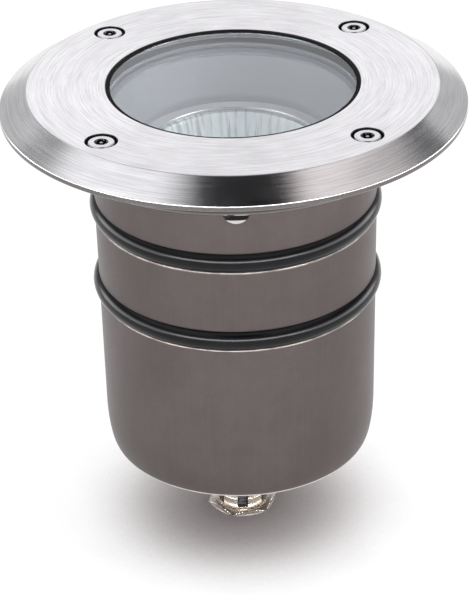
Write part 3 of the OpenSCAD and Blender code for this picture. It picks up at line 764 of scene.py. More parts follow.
def radial_wave() -> bpy.types.NodeTree:
    """Returns the tree that draws flutes or a thread into a turned mesh, made once."""
    made = bpy.data.node_groups.get("radial_wave")
    if made:
        return made
    tree = Growth("radial_wave", (("Count", "Float"), ("Turns per metre", "Float"), ("Depth", "Float"),
                                  ("Scallop", "Float"), ("Finish", "Material")))
    x, y, z = tree.parts(tree.node("GeometryNodeInputPosition").outputs[0])
    phase = tree.number("ADD", tree.product(tree.number("ARCTAN2", y, x), tree.inputs["Count"]),
                        tree.product(z, math.tau, tree.inputs["Turns per metre"]))
    soft = tree.number("SUBTRACT", 0.5, tree.product(tree.number("COSINE", phase), 0.5))
    cusp = tree.number("ABSOLUTE", tree.number("SINE", tree.product(phase, 0.5)))
    scallop = tree.inputs["Scallop"]
    wave = tree.number("ADD", tree.product(cusp, scallop),
                       tree.product(soft, tree.number("SUBTRACT", 1.0, scallop)))
    share = tree.node("GeometryNodeInputNamedAttribute", Name=WAVE_SHARE)
    share.data_type = "FLOAT"
    depth = tree.product(wave, share.outputs[0], tree.inputs["Depth"])
    shift = tree.vector("SCALE", tree.vector("NORMALIZE", tree.joined(x, y, 0.0)), tree.product(depth, -1.0))
    moved = tree.node("GeometryNodeSetPosition", Geometry=tree.inputs["Geometry"], Offset=shift)
    return tree.close(moved.outputs[0])


def grown(piece: Piece, tree: bpy.types.NodeTree, **values: object) -> Piece:
    """Runs a tree on a piece and keeps the result as plain mesh.

    Args:
        piece: the object that carries the tree.
        tree: the Geometry Nodes tree.
        values: its inputs by name, with underscores for spaces.

    Returns:
        The same piece.
    """
    modifier = piece.modifiers.new("growth", "NODES")
    modifier.node_group = tree
    ids = {s.name: s.identifier for s in tree.interface.items_tree if s.in_out == "INPUT"}
    for name, value in values.items():
        modifier[ids[name.replace("_", " ")]] = value
    return applied(piece)


def copies(name: str, pattern: Piece, finish: Finish | None, count: int, radius: float,
           start_deg: float = 0.0, spin_deg: float = 0.0, keep: bool = False) -> Piece:
    """Sets copies of a pattern on a circle and keeps them as one mesh.

    Args:
        name: the new object's name.
        pattern: the mesh to copy, drawn at the origin.
        finish: what the copies wear, if anything.
        count: how many there are.
        radius: the circle's radius in millimetres.
        start_deg: where the first one stands.
        spin_deg: how far each is turned about itself.
        keep: whether the pattern stays.

    Returns:
        The new object.
    """
    carrier = as_object(name, bmesh.new())
    grown(carrier, ring_of_copies(), Pattern=pattern, Count=count, Radius=radius * MM,
          Start=math.radians(start_deg), Spin=math.radians(spin_deg),
          Finish=finish.material() if finish else None)
    if not keep:
        bpy.data.objects.remove(pattern)
    return carrier


def cut_thread(piece: Piece, finish: Finish, pitch: float, depth: float) -> Piece:
    """Draws a thread into the points that carry a share, and returns the piece."""
    return grown(piece, radial_wave(), Count=1.0, Turns_per_metre=1 / (pitch * MM), Depth=depth * MM,
                 Scallop=0.0, Finish=finish.material())


def band(r_first: float, r_last: float, z_first: float, z_last: float, *reaches: float) -> list[Corner]:
    """Corners of a ring's square section, each with the reach of its rounding.

    Args:
        r_first, r_last: the section's radii.
        z_first, z_last: its heights.
        reaches: the four roundings, in the order in which the outline runs.

    Returns:
        The four corners.
    """
    spots = ((r_first, z_first), (r_last, z_first), (r_last, z_last), (r_first, z_last))
    return [(*spot, reach) for spot, reach in zip(spots, reaches)]


def wear(piece: Piece, finish: Finish) -> None:
    """Puts a finish on every material slot of a piece."""
    if not piece.data.materials:
        piece.data.materials.append(None)
    for i in range(len(piece.data.materials)):
        piece.data.materials[i] = finish.material()


def settle(piece: Piece, body: Body, finish: Finish, *nodes: str) -> Piece:
    """Dresses a finished piece and ties it to the frame.

    Args:
        piece: the finished mesh.
        body: the moving group that it rides on.
        finish: the finish whose material it wears.
        nodes: the CAD nodes that it stands for.

    Returns:
        The same piece.
    """
    wear(piece, finish)
    piece.data.shade_smooth()
    piece.data.set_sharp_from_angle(angle=math.radians(SHARP_DEG))
    if WAVE_SHARE in piece.data.attributes:
        piece.data.attributes.remove(piece.data.attributes[WAVE_SHARE])
    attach(piece, body.value)
    if nodes:
        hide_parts(*nodes)
    LOG.info("%s: %d faces, rides on %s, stands for %s", piece.name, len(piece.data.polygons), body.value,
             ", ".join(nodes) or "nothing")
    return piece


def to_front(piece: Piece, z: float) -> Piece:
    """Turns an upright piece so that it points to the front at a height, and returns it."""
    piece.data.transform(Matrix.Translation((0, 0, z * MM)) @ Matrix.Rotation(math.pi / 2, 4, "X"))
    return piece


def hexagon_reach(across_flats: float, angle: float) -> float:
    """How far a hexagon with corners on the X axis reaches at an angle."""
    return across_flats / 2 / math.cos(angle % (math.pi / 3) - math.pi / 6)


def hexagon_side(across_flats: float, z_low: float, z_high: float) -> list[Spot]:
    """Outline of a hexagonal part with turned ends, for a hexagonal warp.

    Args:
        across_flats: width across the flats.
        z_low, z_high: the part's heights.

    Returns:
        Points from the lower to the upper edge, which the warp then clips to the hexagon.
    """
    inner, outer, steps = across_flats * 0.475, across_flats / math.sqrt(3), 6
    reach = outer - inner
    drop = reach * math.tan(math.radians(28))
    shares = [k / steps for k in range(steps + 1)]
    return ([(inner + reach * s, z_low + drop * s) for s in shares]
            + [(outer - reach * s, z_high - drop + drop * s) for s in shares])


def hexagonal(across_flats: float, z_low: float, z_high: float, turn_deg: float = 0.0) -> Warp:
    """A warp that clips radii to a turned hexagon between two heights."""
    def clip(r: float, z: float, angle: float) -> Spot:
        """One point of the clipped part."""
        inside = z_low - TINY <= z <= z_high + TINY
        return (min(r, hexagon_reach(across_flats, angle - math.radians(turn_deg))) if inside else r), z

    return clip


def to_axis(spots: Sequence[Spot]) -> list[Spot]:
    """Closes an outline with a point on the axis at each end."""
    return [(0.0, spots[0][1]), *spots, (0.0, spots[-1][1])]


def thread_span(r: float, z_low: float, z_high: float, per_mm: int = 10) -> list[Spot]:
    """Points up a cylinder, close enough to carry a thread."""
    count = max(2, round((z_high - z_low) * per_mm))
    return [(r, z_low + (z_high - z_low) * k / count) for k in range(count + 1)]


def threaded(r_thread: float, z_low: float, z_high: float) -> Share:
    """A share that is one along a thread and fades at its ends."""
    def share(r: float, z: float) -> float:
        """One point's share."""
        if abs(r - r_thread) > ON_THREAD:
            return 0.0
        return max(0.0, min(1.0, (z - z_low) / THREAD_FADE, (z_high - z) / THREAD_FADE))

    return share


# Sub-assemblies

@dataclass
class TrimRing:
    """The trim ring, the glass that it clamps, the gasket between them and the screw seals."""

    finishes: Finishes
    opening_r: float = 32.5
    pocket_r: float = 36.8
    recess_r: float = 50.5
    flat_r: float = 52.8
    ring_r: float = 60.0
    rim_t: float = 1.4
    ring_t: float = 6.0
    lip_z: float = 5.0
    recess_depth: float = 0.5
    cbore_r: float = 4.0
    cbore_z: float = 2.0
    hole_r: float = 2.15
    glass_r: float = 36.0
    glass_z: float = -3.6
    glass_step_z: float = 4.4
    glass_top_z: float = 5.5
    glass_bevel: float = 0.5
    neck_r: float = 31.75
    gasket_lip_r: float = 31.8
    gasket_top_z: float = 5.85
    gasket_out_r: float = 36.05
    seal_r: float = 3.4
    seal_hole_r: float = 2.06
    seal_top_z: float = 2.4

    def ring(self) -> Piece:
        """The ring with its bevel, four counterbores and four holes."""
        body = lathe("trim_ring_turned", softened([
            (self.opening_r, self.lip_z, 0.1), (self.opening_r, self.ring_t - 0.2, 0.05),
            (self.opening_r + 0.25, self.ring_t, 0.08),
            (self.flat_r, self.ring_t, 0.25), (self.ring_r - 0.02, self.rim_t, 0.18),
            (self.ring_r - 0.02, 0.0, 0.25), (self.recess_r, 0.0, 0.12),
            (self.recess_r, self.recess_depth, 0.1), (self.pocket_r, self.recess_depth, 0.12),
            (self.pocket_r, self.lip_z, 0.1)]), 288)
        top, edge_r = self.ring_t, self.cbore_r + 0.22
        bore = lathe("counterbore_cutter", to_axis([
            (self.hole_r, -1.0), (self.hole_r, self.cbore_z), (self.cbore_r, self.cbore_z),
            (self.cbore_r, top - 0.2), (edge_r, top + 0.02), (edge_r, top + 1.0)]), 72)
        return cut_around(body, bore, SCREW_COUNT, SCREW_RING_R, FIRST_SCREW_DEG)

    def glass(self) -> Piece:
        """The thick front glass, stepped at its edge so that its middle stands nearly flush."""
        b = self.glass_bevel
        r, low, step, neck, top = self.glass_r, self.glass_z, self.glass_step_z, self.neck_r, self.glass_top_z
        return lathe("front_glass_disc", softened([
            (0.0, low, 0.0), (r - b, low, 0.12), (r, low + b, 0.12), (r, step - b, 0.12), (r - b, step, 0.12),
            (neck, step, 0.1), (neck, top - b / 2, 0.08), (neck - b / 2, top, 0.08), (0.0, top, 0.0)]), 192)

    def ground_edge(self, glass: Piece) -> None:
        """Gives the glass's outer wall and bevels the ground finish."""
        glass.data.materials.append(self.finishes.ground.material())
        for face in glass.data.polygons:
            reach = math.hypot(*face.center[:2]) / MM
            if reach > self.neck_r + 1.0 and face.center[2] / MM < self.glass_step_z - 0.01 \
                    and abs(face.normal[2]) < 0.9:
                face.material_index = 1

    def gasket(self) -> Piece:
        """The black gasket, whose lip stands up between the glass and the opening."""
        wall = self.opening_r - 0.02
        return lathe("glass_gasket_lip", softened([
            (self.gasket_lip_r, self.glass_step_z, 0.05), (self.gasket_lip_r, self.gasket_top_z, 0.2),
            (wall, self.gasket_top_z, 0.12), (wall, self.lip_z, 0.05),
            (self.gasket_out_r, self.lip_z, 0.05), (self.gasket_out_r, self.glass_step_z, 0.05)]), 192)

    def seals(self) -> Piece:
        """The four flat seals under the trim screws' heads."""
        seal = lathe("screw_seal_pattern", softened(band(
            self.seal_hole_r, self.seal_r, self.cbore_z, self.seal_top_z, 0.08, 0.1, 0.1, 0.08), 3), 48)
        return copies("screw_seal_ring_set", seal, self.finishes.rubber, SCREW_COUNT, SCREW_RING_R,
                      FIRST_SCREW_DEG)

    def build(self) -> None:
        """Builds and dresses the sub-assembly."""
        dress = self.finishes
        settle(self.ring(), Body.TRIM, dress.ring, "trim_ring")
        self.ground_edge(settle(self.glass(), Body.TRIM, dress.glass, "front_glass"))
        settle(self.gasket(), Body.TRIM, dress.gasket, "glass_gasket_upper")
        settle(self.seals(), Body.TRIM, dress.rubber, "screw_seals")


@dataclass
class TrimScrews:
    """The four cap screws with pinned star sockets."""

    finishes: Finishes
    head_r: float = 3.4
    head_z: float = 2.4
    head_top_z: float = 5.8
    shank_r: float = 2.0
    tip_z: float = -5.6
    socket_r: float = 1.7
    socket_depth: float = 1.9
    lobe: float = 0.13
    pin_r: float = 0.4
    pin_drop: float = 0.2
    bodies: tuple[tuple[Body, float, float], ...] = (
        (Body.SCREW_REAR_RIGHT, 45.0, 9.0), (Body.SCREW_REAR_LEFT, 135.0, 31.0),
        (Body.SCREW_FRONT_LEFT, 225.0, 4.0), (Body.SCREW_FRONT_RIGHT, 315.0, 47.0))

    def star(self, r: float, z: float, angle: float) -> Spot:
        """Warps the socket's wall into six lobes."""
        return (r * (1 - self.lobe + self.lobe * math.cos(6 * angle)) if r > 1.0 else r), z

    def pattern(self) -> Piece:
        """One screw, standing at the origin."""
        low, high, top = self.tip_z + 0.5, 1.2, self.head_top_z
        path = ([(0.0, self.tip_z), (self.shank_r - 0.45, self.tip_z)] + thread_span(self.shank_r, low, high)
                + softened([(self.shank_r, self.head_z - 0.3, 0.0), (self.shank_r, self.head_z, 0.0),
                            (self.head_r, self.head_z, 0.12), (self.head_r, top, 0.45), (0.0, top, 0.0)]))
        body = lathe("trim_screw_pattern", path, 72, share=threaded(self.shank_r, low, high))
        floor, edge_r = top - self.socket_depth, self.socket_r + 0.15
        socket = lathe("socket_cutter", to_axis([
            (self.pin_r, top - self.pin_drop), (self.pin_r, floor), (self.socket_r, floor),
            (self.socket_r, top - 0.12), (edge_r, top + 0.03), (edge_r, top + 1)]), 72, warp=self.star)
        return cut_from(cut_thread(body, self.finishes.screw, M4_PITCH, M4_THREAD_DEPTH), socket)

    def build(self) -> None:
        """Sets one screw on each screw body."""
        pattern = self.pattern()
        steel = self.finishes.screw
        for body, angle, spin in self.bodies:
            piece = copies(f"trim_{body.value}_detailed", pattern, steel, 1, SCREW_RING_R, angle, spin, True)
            settle(piece, body, steel, f"trim_{body.value}")
        bpy.data.objects.remove(pattern)


@dataclass
class Housing:
    """The flange, the can welded under it and the two rubber rings round the can."""

    finishes: Finishes
    ledge_r: float = 32.25
    pocket_r: float = 36.8
    flange_r: float = 50.0
    flange_top_z: float = 0.5
    flange_z: float = -6.3
    ledge_z: float = -4.4
    bevel: float = 0.4
    thread_r: float = 2.06
    can_r: float = 37.1
    can_low_r: float = 36.4
    can_in_r: float = 35.6
    can_wall: float = 1.5
    can_z: float = -98.8
    corner_w: float = 3.2
    corner_h: float = 11.2
    weld: float = 0.7
    stem_hole_r: float = 6.15
    side_hole_r: float = 2.06
    side_z: float = -11.1
    oring_r: float = 3.0
    flash: float = 0.03
    oring_centre_r: float = 35.25
    oring_zs: tuple[float, float] = (-26.85, -49.5)
    groove_room: float = 0.05
    lip: float = 0.5
    corner_shares: tuple[Spot, ...] = (
        (0.0, 0.0), (0.07, 0.33), (0.2, 0.62), (0.38, 0.84), (0.64, 0.96), (1.0, 1.0))

    def flange(self) -> Piece:
        """The turned flange with its four threaded holes."""
        body = lathe("body_flange_turned", softened([
            (self.ledge_r, self.flange_z, 0.1), (self.ledge_r, self.ledge_z, 0.15),
            (self.pocket_r, self.ledge_z, 0.1), (self.pocket_r, self.flange_top_z, 0.15),
            (self.flange_r, self.flange_top_z, 0.15), (self.flange_r, self.flange_z + self.bevel, 0.15),
            (self.flange_r - self.bevel, self.flange_z, 0.15)]), 240)
        low, top, wide = self.flange_z, self.flange_top_z, self.thread_r + 0.3
        hole = lathe("flange_hole_cutter", to_axis([
            (wide, low - 1), (wide, low - 0.02), (self.thread_r, low + 0.3),
            (self.thread_r, top - 0.25), (wide, top + 0.02), (wide, top + 1)]), 48)
        return cut_around(body, hole, SCREW_COUNT, SCREW_RING_R, FIRST_SCREW_DEG)

    def wall(self, z: float, inward: float) -> float:
        """Radius of the drafted wall at a height, drawn in by a distance."""
        top, low = self.flange_z, self.can_z + self.corner_h
        outer = self.can_low_r + (self.can_r - self.can_low_r) * max(0.0, (z - low) / (top - low))
        return outer - inward

    def corner(self, inward: float) -> list[Spot]:
        """The can's bottom corner as a smooth curve, drawn in by the wall.

        Args:
            inward: how far the curve lies inside the outer one.

        Returns:
            Radius and height from the wall to the floor.
        """
        shares, steps = list(self.corner_shares), 6
        ends = [(-shares[1][0], -shares[1][1])] + shares + [(2 - shares[-2][0], 2 - shares[-2][1])]
        made: list[Spot] = []
        for i in range(1, len(shares)):
            p0, p1, p2, p3 = (Vector(ends[i + k]) for k in (-1, 0, 1, 2))
            for k in range(steps):
                t = k / steps
                s = 0.5 * (2 * p1 + (p2 - p0) * t + (2 * p0 - 5 * p1 + 4 * p2 - p3) * t * t
                           + (3 * p1 - p0 - 3 * p2 + p3) * t ** 3)
                made.append((self.can_low_r - inward - max(0.0, s[0]) * self.corner_w,
                             self.can_z + inward + (1 - min(1.0, max(0.0, s[1]))) * (self.corner_h - inward)))
        return made + [(self.can_low_r - inward - self.corner_w, self.can_z + inward)]

    def groove(self, z: float, inward: float) -> list[Corner]:
        """Downward points of one rolled groove, as corners for softening.

        Args:
            z: the groove's middle.
            inward: the wall that it is drawn in by, zero for the outer side.

        Returns:
            Corners from the upper lip to the lower one.
        """
        r = self.oring_r + self.groove_room + inward
        start = math.acos((self.wall(z, inward) - self.oring_centre_r) / r)
        first = self.lip * 1.1 / r
        span = math.tau - 2 * (start + first)
        turns = [start] + [start + first + span * k / 22 for k in range(23)] + [math.tau - start]
        return [(self.oring_centre_r + r * math.cos(a), z + r * math.sin(a),
                 self.lip if k in (0, 24) else 0.0) for k, a in enumerate(turns)]

    def can(self) -> Piece:
        """The drawn can with two rolled grooves, a soft corner and a weld under the flange."""
        outer: list[Corner] = [(self.can_r + self.weld, self.flange_z, 0.0),
                               (self.can_r + self.weld * 0.3, self.flange_z - self.weld * 0.35, 0.0),
                               (self.can_r, self.flange_z - self.weld * 1.3, 0.2)]
        inner: list[Corner] = [(self.can_in_r, self.flange_z, 0.1)]
        for z in self.oring_zs:
            outer += self.groove(z, 0.0)
            inner += self.groove(z, self.can_wall)
        outer += [(r, z, 0.0) for r, z in self.corner(0.0)]
        inner += [(r, z, 0.0) for r, z in self.corner(self.can_wall)]
        bottom: list[Corner] = [(self.stem_hole_r, self.can_z, 0.15),
                                (self.stem_hole_r, self.can_z + self.can_wall, 0.15)]
        body = lathe("body_can_drawn", softened(outer + bottom + inner[::-1], 5, 0.3), 240)
        near, far = self.can_in_r - 5.6, self.can_in_r + 4.4
        hole = lathe("side_hole_cutter", to_axis([(self.side_hole_r, near), (self.side_hole_r, far)]), 48)
        return cut_from(body, to_front(hole, self.side_z))

    def rubber_ring(self, name: str, z: float) -> Piece:
        """A rubber ring with the faint flash line of its mould."""
        path = []
        for k in range(56):
            angle = math.tau * k / 56
            r = self.oring_r - (self.flash if k else 0.0)
            path.append((self.oring_centre_r + r * math.cos(angle), z + r * math.sin(angle)))
        return lathe(name, path, 240)

    def build(self) -> None:
        """Builds and dresses the housing's outside."""
        dress = self.finishes
        settle(self.flange(), Body.HOUSING, dress.flange, "body_flange")
        settle(self.can(), Body.HOUSING, dress.can, "body_can")
        for name, node, z in zip(("rubber_ring_upper", "rubber_ring_lower"), ("oring_upper", "oring_lower"),
                                 self.oring_zs):
            settle(self.rubber_ring(name, z), Body.HOUSING, dress.rubber, node)


@dataclass
class SideScrew:
    """The small slotted screw in the can's front, with its rubber washer."""

    finishes: Finishes
    z: float = -11.1
    can_r: float = 37.1
    seat_y: float = 37.7
    head_r: float = 3.5
    head_h: float = 1.6
    shank_r: float = 2.0
    length: float = 5.0
    slot_w: float = 0.9
    slot_turn: float = 28.0
    washer_r: float = 3.35
    washer_gap: float = 0.05
    washer_hole_r: float = 2.06

    def screw(self) -> Piece:
        """The domed head with its slot, and a threaded shank."""
        top = self.seat_y + self.head_h
        low, high = self.seat_y - self.length + 0.4, self.seat_y - 0.5
        tip = self.seat_y - self.length
        path = ([(0.0, tip), (self.shank_r - 0.4, tip)] + thread_span(self.shank_r, low, high)
                + softened([(self.shank_r, self.seat_y - 0.2, 0.0), (self.shank_r, self.seat_y, 0.0),
                            (self.head_r, self.seat_y, 0.15), (self.head_r, top - 0.35, 0.35),
                            (self.head_r * 0.72, top, 0.6), (0.0, top, 0.0)]))
        body = lathe("side_screw_turned", path, 72, share=threaded(self.shank_r, low, high))
        cut_thread(body, self.finishes.side_screw, M4_PITCH, M4_THREAD_DEPTH)
        half, past = self.slot_w / 2, 6
        slot = box_between("slot_cutter", (-past, -half, top - self.head_h / 2), (past, half, top + 2))
        slot.data.transform(Matrix.Rotation(math.radians(self.slot_turn), 4, "Z"))
        return to_front(cut_from(body, slot), self.z)

    def washer(self) -> Piece:
        """A rubber washer squeezed to the can's curve."""
        def squeeze(r: float, z: float, angle: float) -> Spot:
            """Lays the washer's inner side on the can."""
            if z > self.can_r + 0.1:
                return r, z
            return r, z - self.can_r + math.sqrt(self.can_r ** 2 - (r * math.cos(angle)) ** 2)

        return to_front(lathe("side_screw_washer_soft", softened(band(
            self.washer_hole_r, self.washer_r, self.can_r, self.seat_y - self.washer_gap,
            0.05, 0.1, 0.12, 0.05), 3), 72, warp=squeeze), self.z)

    def build(self) -> None:
        """Builds and dresses the screw and its washer."""
        settle(self.screw(), Body.SIDE_PLUG, self.finishes.side_screw, "side_screw")
        settle(self.washer(), Body.HOUSING, self.finishes.rubber, "side_screw_washer")


@dataclass
class Baffle:
    """The pressed cone between the glass and the lamp."""

    finishes: Finishes
    cone_r: float = 31.6
    rim_w: float = 0.6
    rim_z: float = -5.2
    lip_r: float = 34.8
    skirt_r: float = 26.2
    wall: float = 1.0
    top_z: float = -6.3
    skirt_top_z: float = -16.0
    shelf_z: float = -21.1
    shelf_out_r: float = 30.0
    shelf_in_r: float = 23.95
    screw_x: float = 27.6
    screw_hole_r: float = 1.31

    def build(self) -> None:
        """Builds and dresses the baffle."""
        w, bend = self.wall, 0.7
        body = lathe("baffle_pressed", softened([
            (self.cone_r + self.rim_w / 2, self.rim_z, 0.1), (self.cone_r + self.rim_w, self.rim_z, 0.1),
            (self.cone_r + self.rim_w, self.top_z, 0.1),
            (self.lip_r, self.top_z, 0.1), (self.lip_r, self.top_z - w, 0.1),
            (self.cone_r + w, self.top_z - w, bend), (self.skirt_r + w, self.skirt_top_z, bend),
            (self.skirt_r + w, self.shelf_z, 0.2), (self.shelf_out_r, self.shelf_z, 0.1),
            (self.shelf_out_r, self.shelf_z - w, 0.1), (self.shelf_in_r, self.shelf_z - w, 0.1),
            (self.shelf_in_r, self.shelf_z, 0.1), (self.skirt_r, self.shelf_z, 0.2),
            (self.skirt_r, self.skirt_top_z, bend)]), 192)
        hole = lathe("baffle_hole_cutter", to_axis([
            (self.screw_hole_r, self.shelf_z - 3), (self.screw_hole_r, self.shelf_z + 1.5)]), 36)
        settle(cut_around(body, hole, 2, self.screw_x), Body.HOUSING, self.finishes.baffle, "baffle")


@dataclass
class Lamp:
    """The reflector lamp: fluted reflector, cover glass, capsule and the clip that holds it."""

    finishes: Finishes
    rim_r: float = 25.35
    rim_top_z: float = -18.5
    shelf_z: float = -21.1
    bowl_r: float = 23.4
    bowl_z: float = -44.6
    neck_r: float = 9.0
    neck_hole_r: float = 5.2
    mirror_r: float = 22.0
    cover_r: float = 23.4
    cover_t: float = 1.4
    room: float = 0.05
    power: float = 0.55
    flutes: int = 44
    flute_depth: float = 0.5
    scallop: float = 0.8
    capsule_r: float = 4.6
    capsule_h: float = 15.5
    capsule_wall: float = 0.7
    clip_in_r: float = 22.65
    clip_out_r: float = 26.15
    clip_t: float = 0.6
    clip_gap: float = 3.0

    def bowl(self, r_low: float, r_high: float, z_low: float, z_high: float, steps: int) -> list[Spot]:
        """Points up a bowl, closer together where it curves most."""
        shares = [(k / steps) ** 1.8 for k in range(steps + 1)]
        return [(r_low + (r_high - r_low) * s ** self.power, z_low + (z_high - z_low) * s) for s in shares]

    def reflector(self) -> Piece:
        """The glass bowl with its fluted mirror."""
        seat_z = self.rim_top_z - self.cover_t - self.room
        mirror = self.bowl(self.neck_hole_r, self.mirror_r, self.bowl_z + self.cover_t, seat_z, 30)
        rim = softened([
            (self.rim_r, self.shelf_z, 0.25), (self.rim_r, self.rim_top_z, 0.5),
            (self.cover_r, self.rim_top_z, 0.2), (self.cover_r, seat_z, 0.1),
            (self.mirror_r + 0.45, seat_z, 0.0)], 4)
        path = ([(self.neck_hole_r, self.bowl_z)]
                + self.bowl(self.neck_r, self.bowl_r, self.bowl_z, self.shelf_z, 24) + rim + mirror[::-1])
        inside = {(round(r, 5), round(z, 5)): i for i, (r, z) in enumerate(mirror)}

        def share(r: float, z: float) -> float:
            """Flutes start above the neck and run out at the mouth."""
            i = inside.get((round(r, 5), round(z, 5)))
            return 0.0 if i is None else min(1.0, i / 8) * min(1.0, 0.35 + (len(mirror) - 1 - i) / 4)

        body = lathe("lamp_reflector_fluted", path, self.flutes * 8, share=share)
        return grown(body, radial_wave(), Count=float(self.flutes), Turns_per_metre=0.0,
                     Depth=-self.flute_depth * MM, Scallop=self.scallop,
                     Finish=self.finishes.mirror.material())

    def cover(self) -> Piece:
        """The lamp's own thin cover glass."""
        top = self.rim_top_z - self.room
        return lathe("lamp_cover_disc", softened([
            (0.0, top - self.cover_t, 0.0), (self.cover_r - self.room, top - self.cover_t, 0.15),
            (self.cover_r - self.room, top, 0.3), (0.0, top, 0.0)]), 144)

    def capsule(self) -> Piece:
        """The hollow capsule with a domed end and a small seal-off tip."""
        r, w, low, squash = self.capsule_r, self.capsule_wall, self.bowl_z, 0.35
        dome_z = low + self.capsule_h - r

        def dome(reach: float) -> list[Spot]:
            """Points up a slightly squashed dome, short of its top."""
            return [(reach * math.cos(a), dome_z + (reach - squash) * math.sin(a))
                    for a in (math.pi / 2 * k / 12 for k in range(12))]

        path = ([(0.0, low), (r * 0.8, low), (r, low + 0.8)] + dome(r)
                + [(0.55, dome_z + r - 0.3), (0.0, dome_z + r), (0.0, dome_z + r - squash - w)]
                + dome(r - w)[::-1] + [(r - w, low + 3.0), (r - w - 1.5, low + 2.0), (0.0, low + 2.0)])
        return lathe("lamp_capsule_bulb", path, 64)

    def clip(self) -> Piece:
        """The flat spring clip on the lamp's rim, open at the front."""
        low, high = self.rim_top_z, self.rim_top_z + self.clip_t
        ring = lathe("lamp_clip_flat", softened(band(
            self.clip_in_r, self.clip_out_r, low, high, 0.1, 0.1, 0.12, 0.3), 4), 192)
        half = self.clip_gap / 2
        gap = box_between("clip_gap_cutter", (-half, -30.0, low - 1), (half, -20.0, high + 1))
        return cut_from(ring, gap)

    def filament(self) -> Piece:
        """The coiled filament between its two supports, inside the capsule."""
        bm = bmesh.new()
        turns, steps, radius, wire = 14, 12, 0.55, 0.09
        foot_x, coil_x, foot_z, z = 2.2, 1.9, self.bowl_z + 2.2, self.bowl_z + 9.5
        spots = [Vector((-foot_x, 0, foot_z)), Vector((-foot_x, 0, z))]
        for k in range(turns * steps + 1):
            a = math.tau * k / steps
            spots.append(Vector((2 * coil_x * k / (turns * steps) - coil_x, radius * math.cos(a),
                                 z + radius * math.sin(a))))
        spots += [Vector((foot_x, 0, z)), Vector((foot_x, 0, foot_z))]
        rings = []
        for i, spot in enumerate(spots):
            ahead = (spots[min(i + 1, len(spots) - 1)] - spots[max(i - 1, 0)]).normalized()
            side = ahead.cross(Vector((0.13, 0.21, 0.97))).normalized()
            up = side.cross(ahead)
            rings.append([bm.verts.new((spot + (side * math.cos(a) + up * math.sin(a)) * wire) * MM)
                          for a in (math.tau * k / 6 for k in range(6))])
        for low, high in zip(rings, rings[1:]):
            for k in range(6):
                bm.faces.new((low[k], low[(k + 1) % 6], high[(k + 1) % 6], high[k]))
        bm.faces.new(rings[0])
        bm.faces.new(rings[-1])
        bmesh.ops.recalc_face_normals(bm, faces=bm.faces)
        return as_object("lamp_filament_coil", bm)

    def build(self) -> None:
        """Builds and dresses the lamp."""
        dress = self.finishes
        settle(self.reflector(), Body.LAMP, dress.mirror, "lamp_reflector")
        settle(self.cover(), Body.LAMP, dress.lamp_glass, "lamp_cover_glass")
        settle(self.capsule(), Body.LAMP, dress.lamp_glass, "lamp_capsule")
        settle(self.clip(), Body.LAMP, dress.clip, "lamp_clip_ring")
        settle(self.filament(), Body.LAMP, dress.spring)


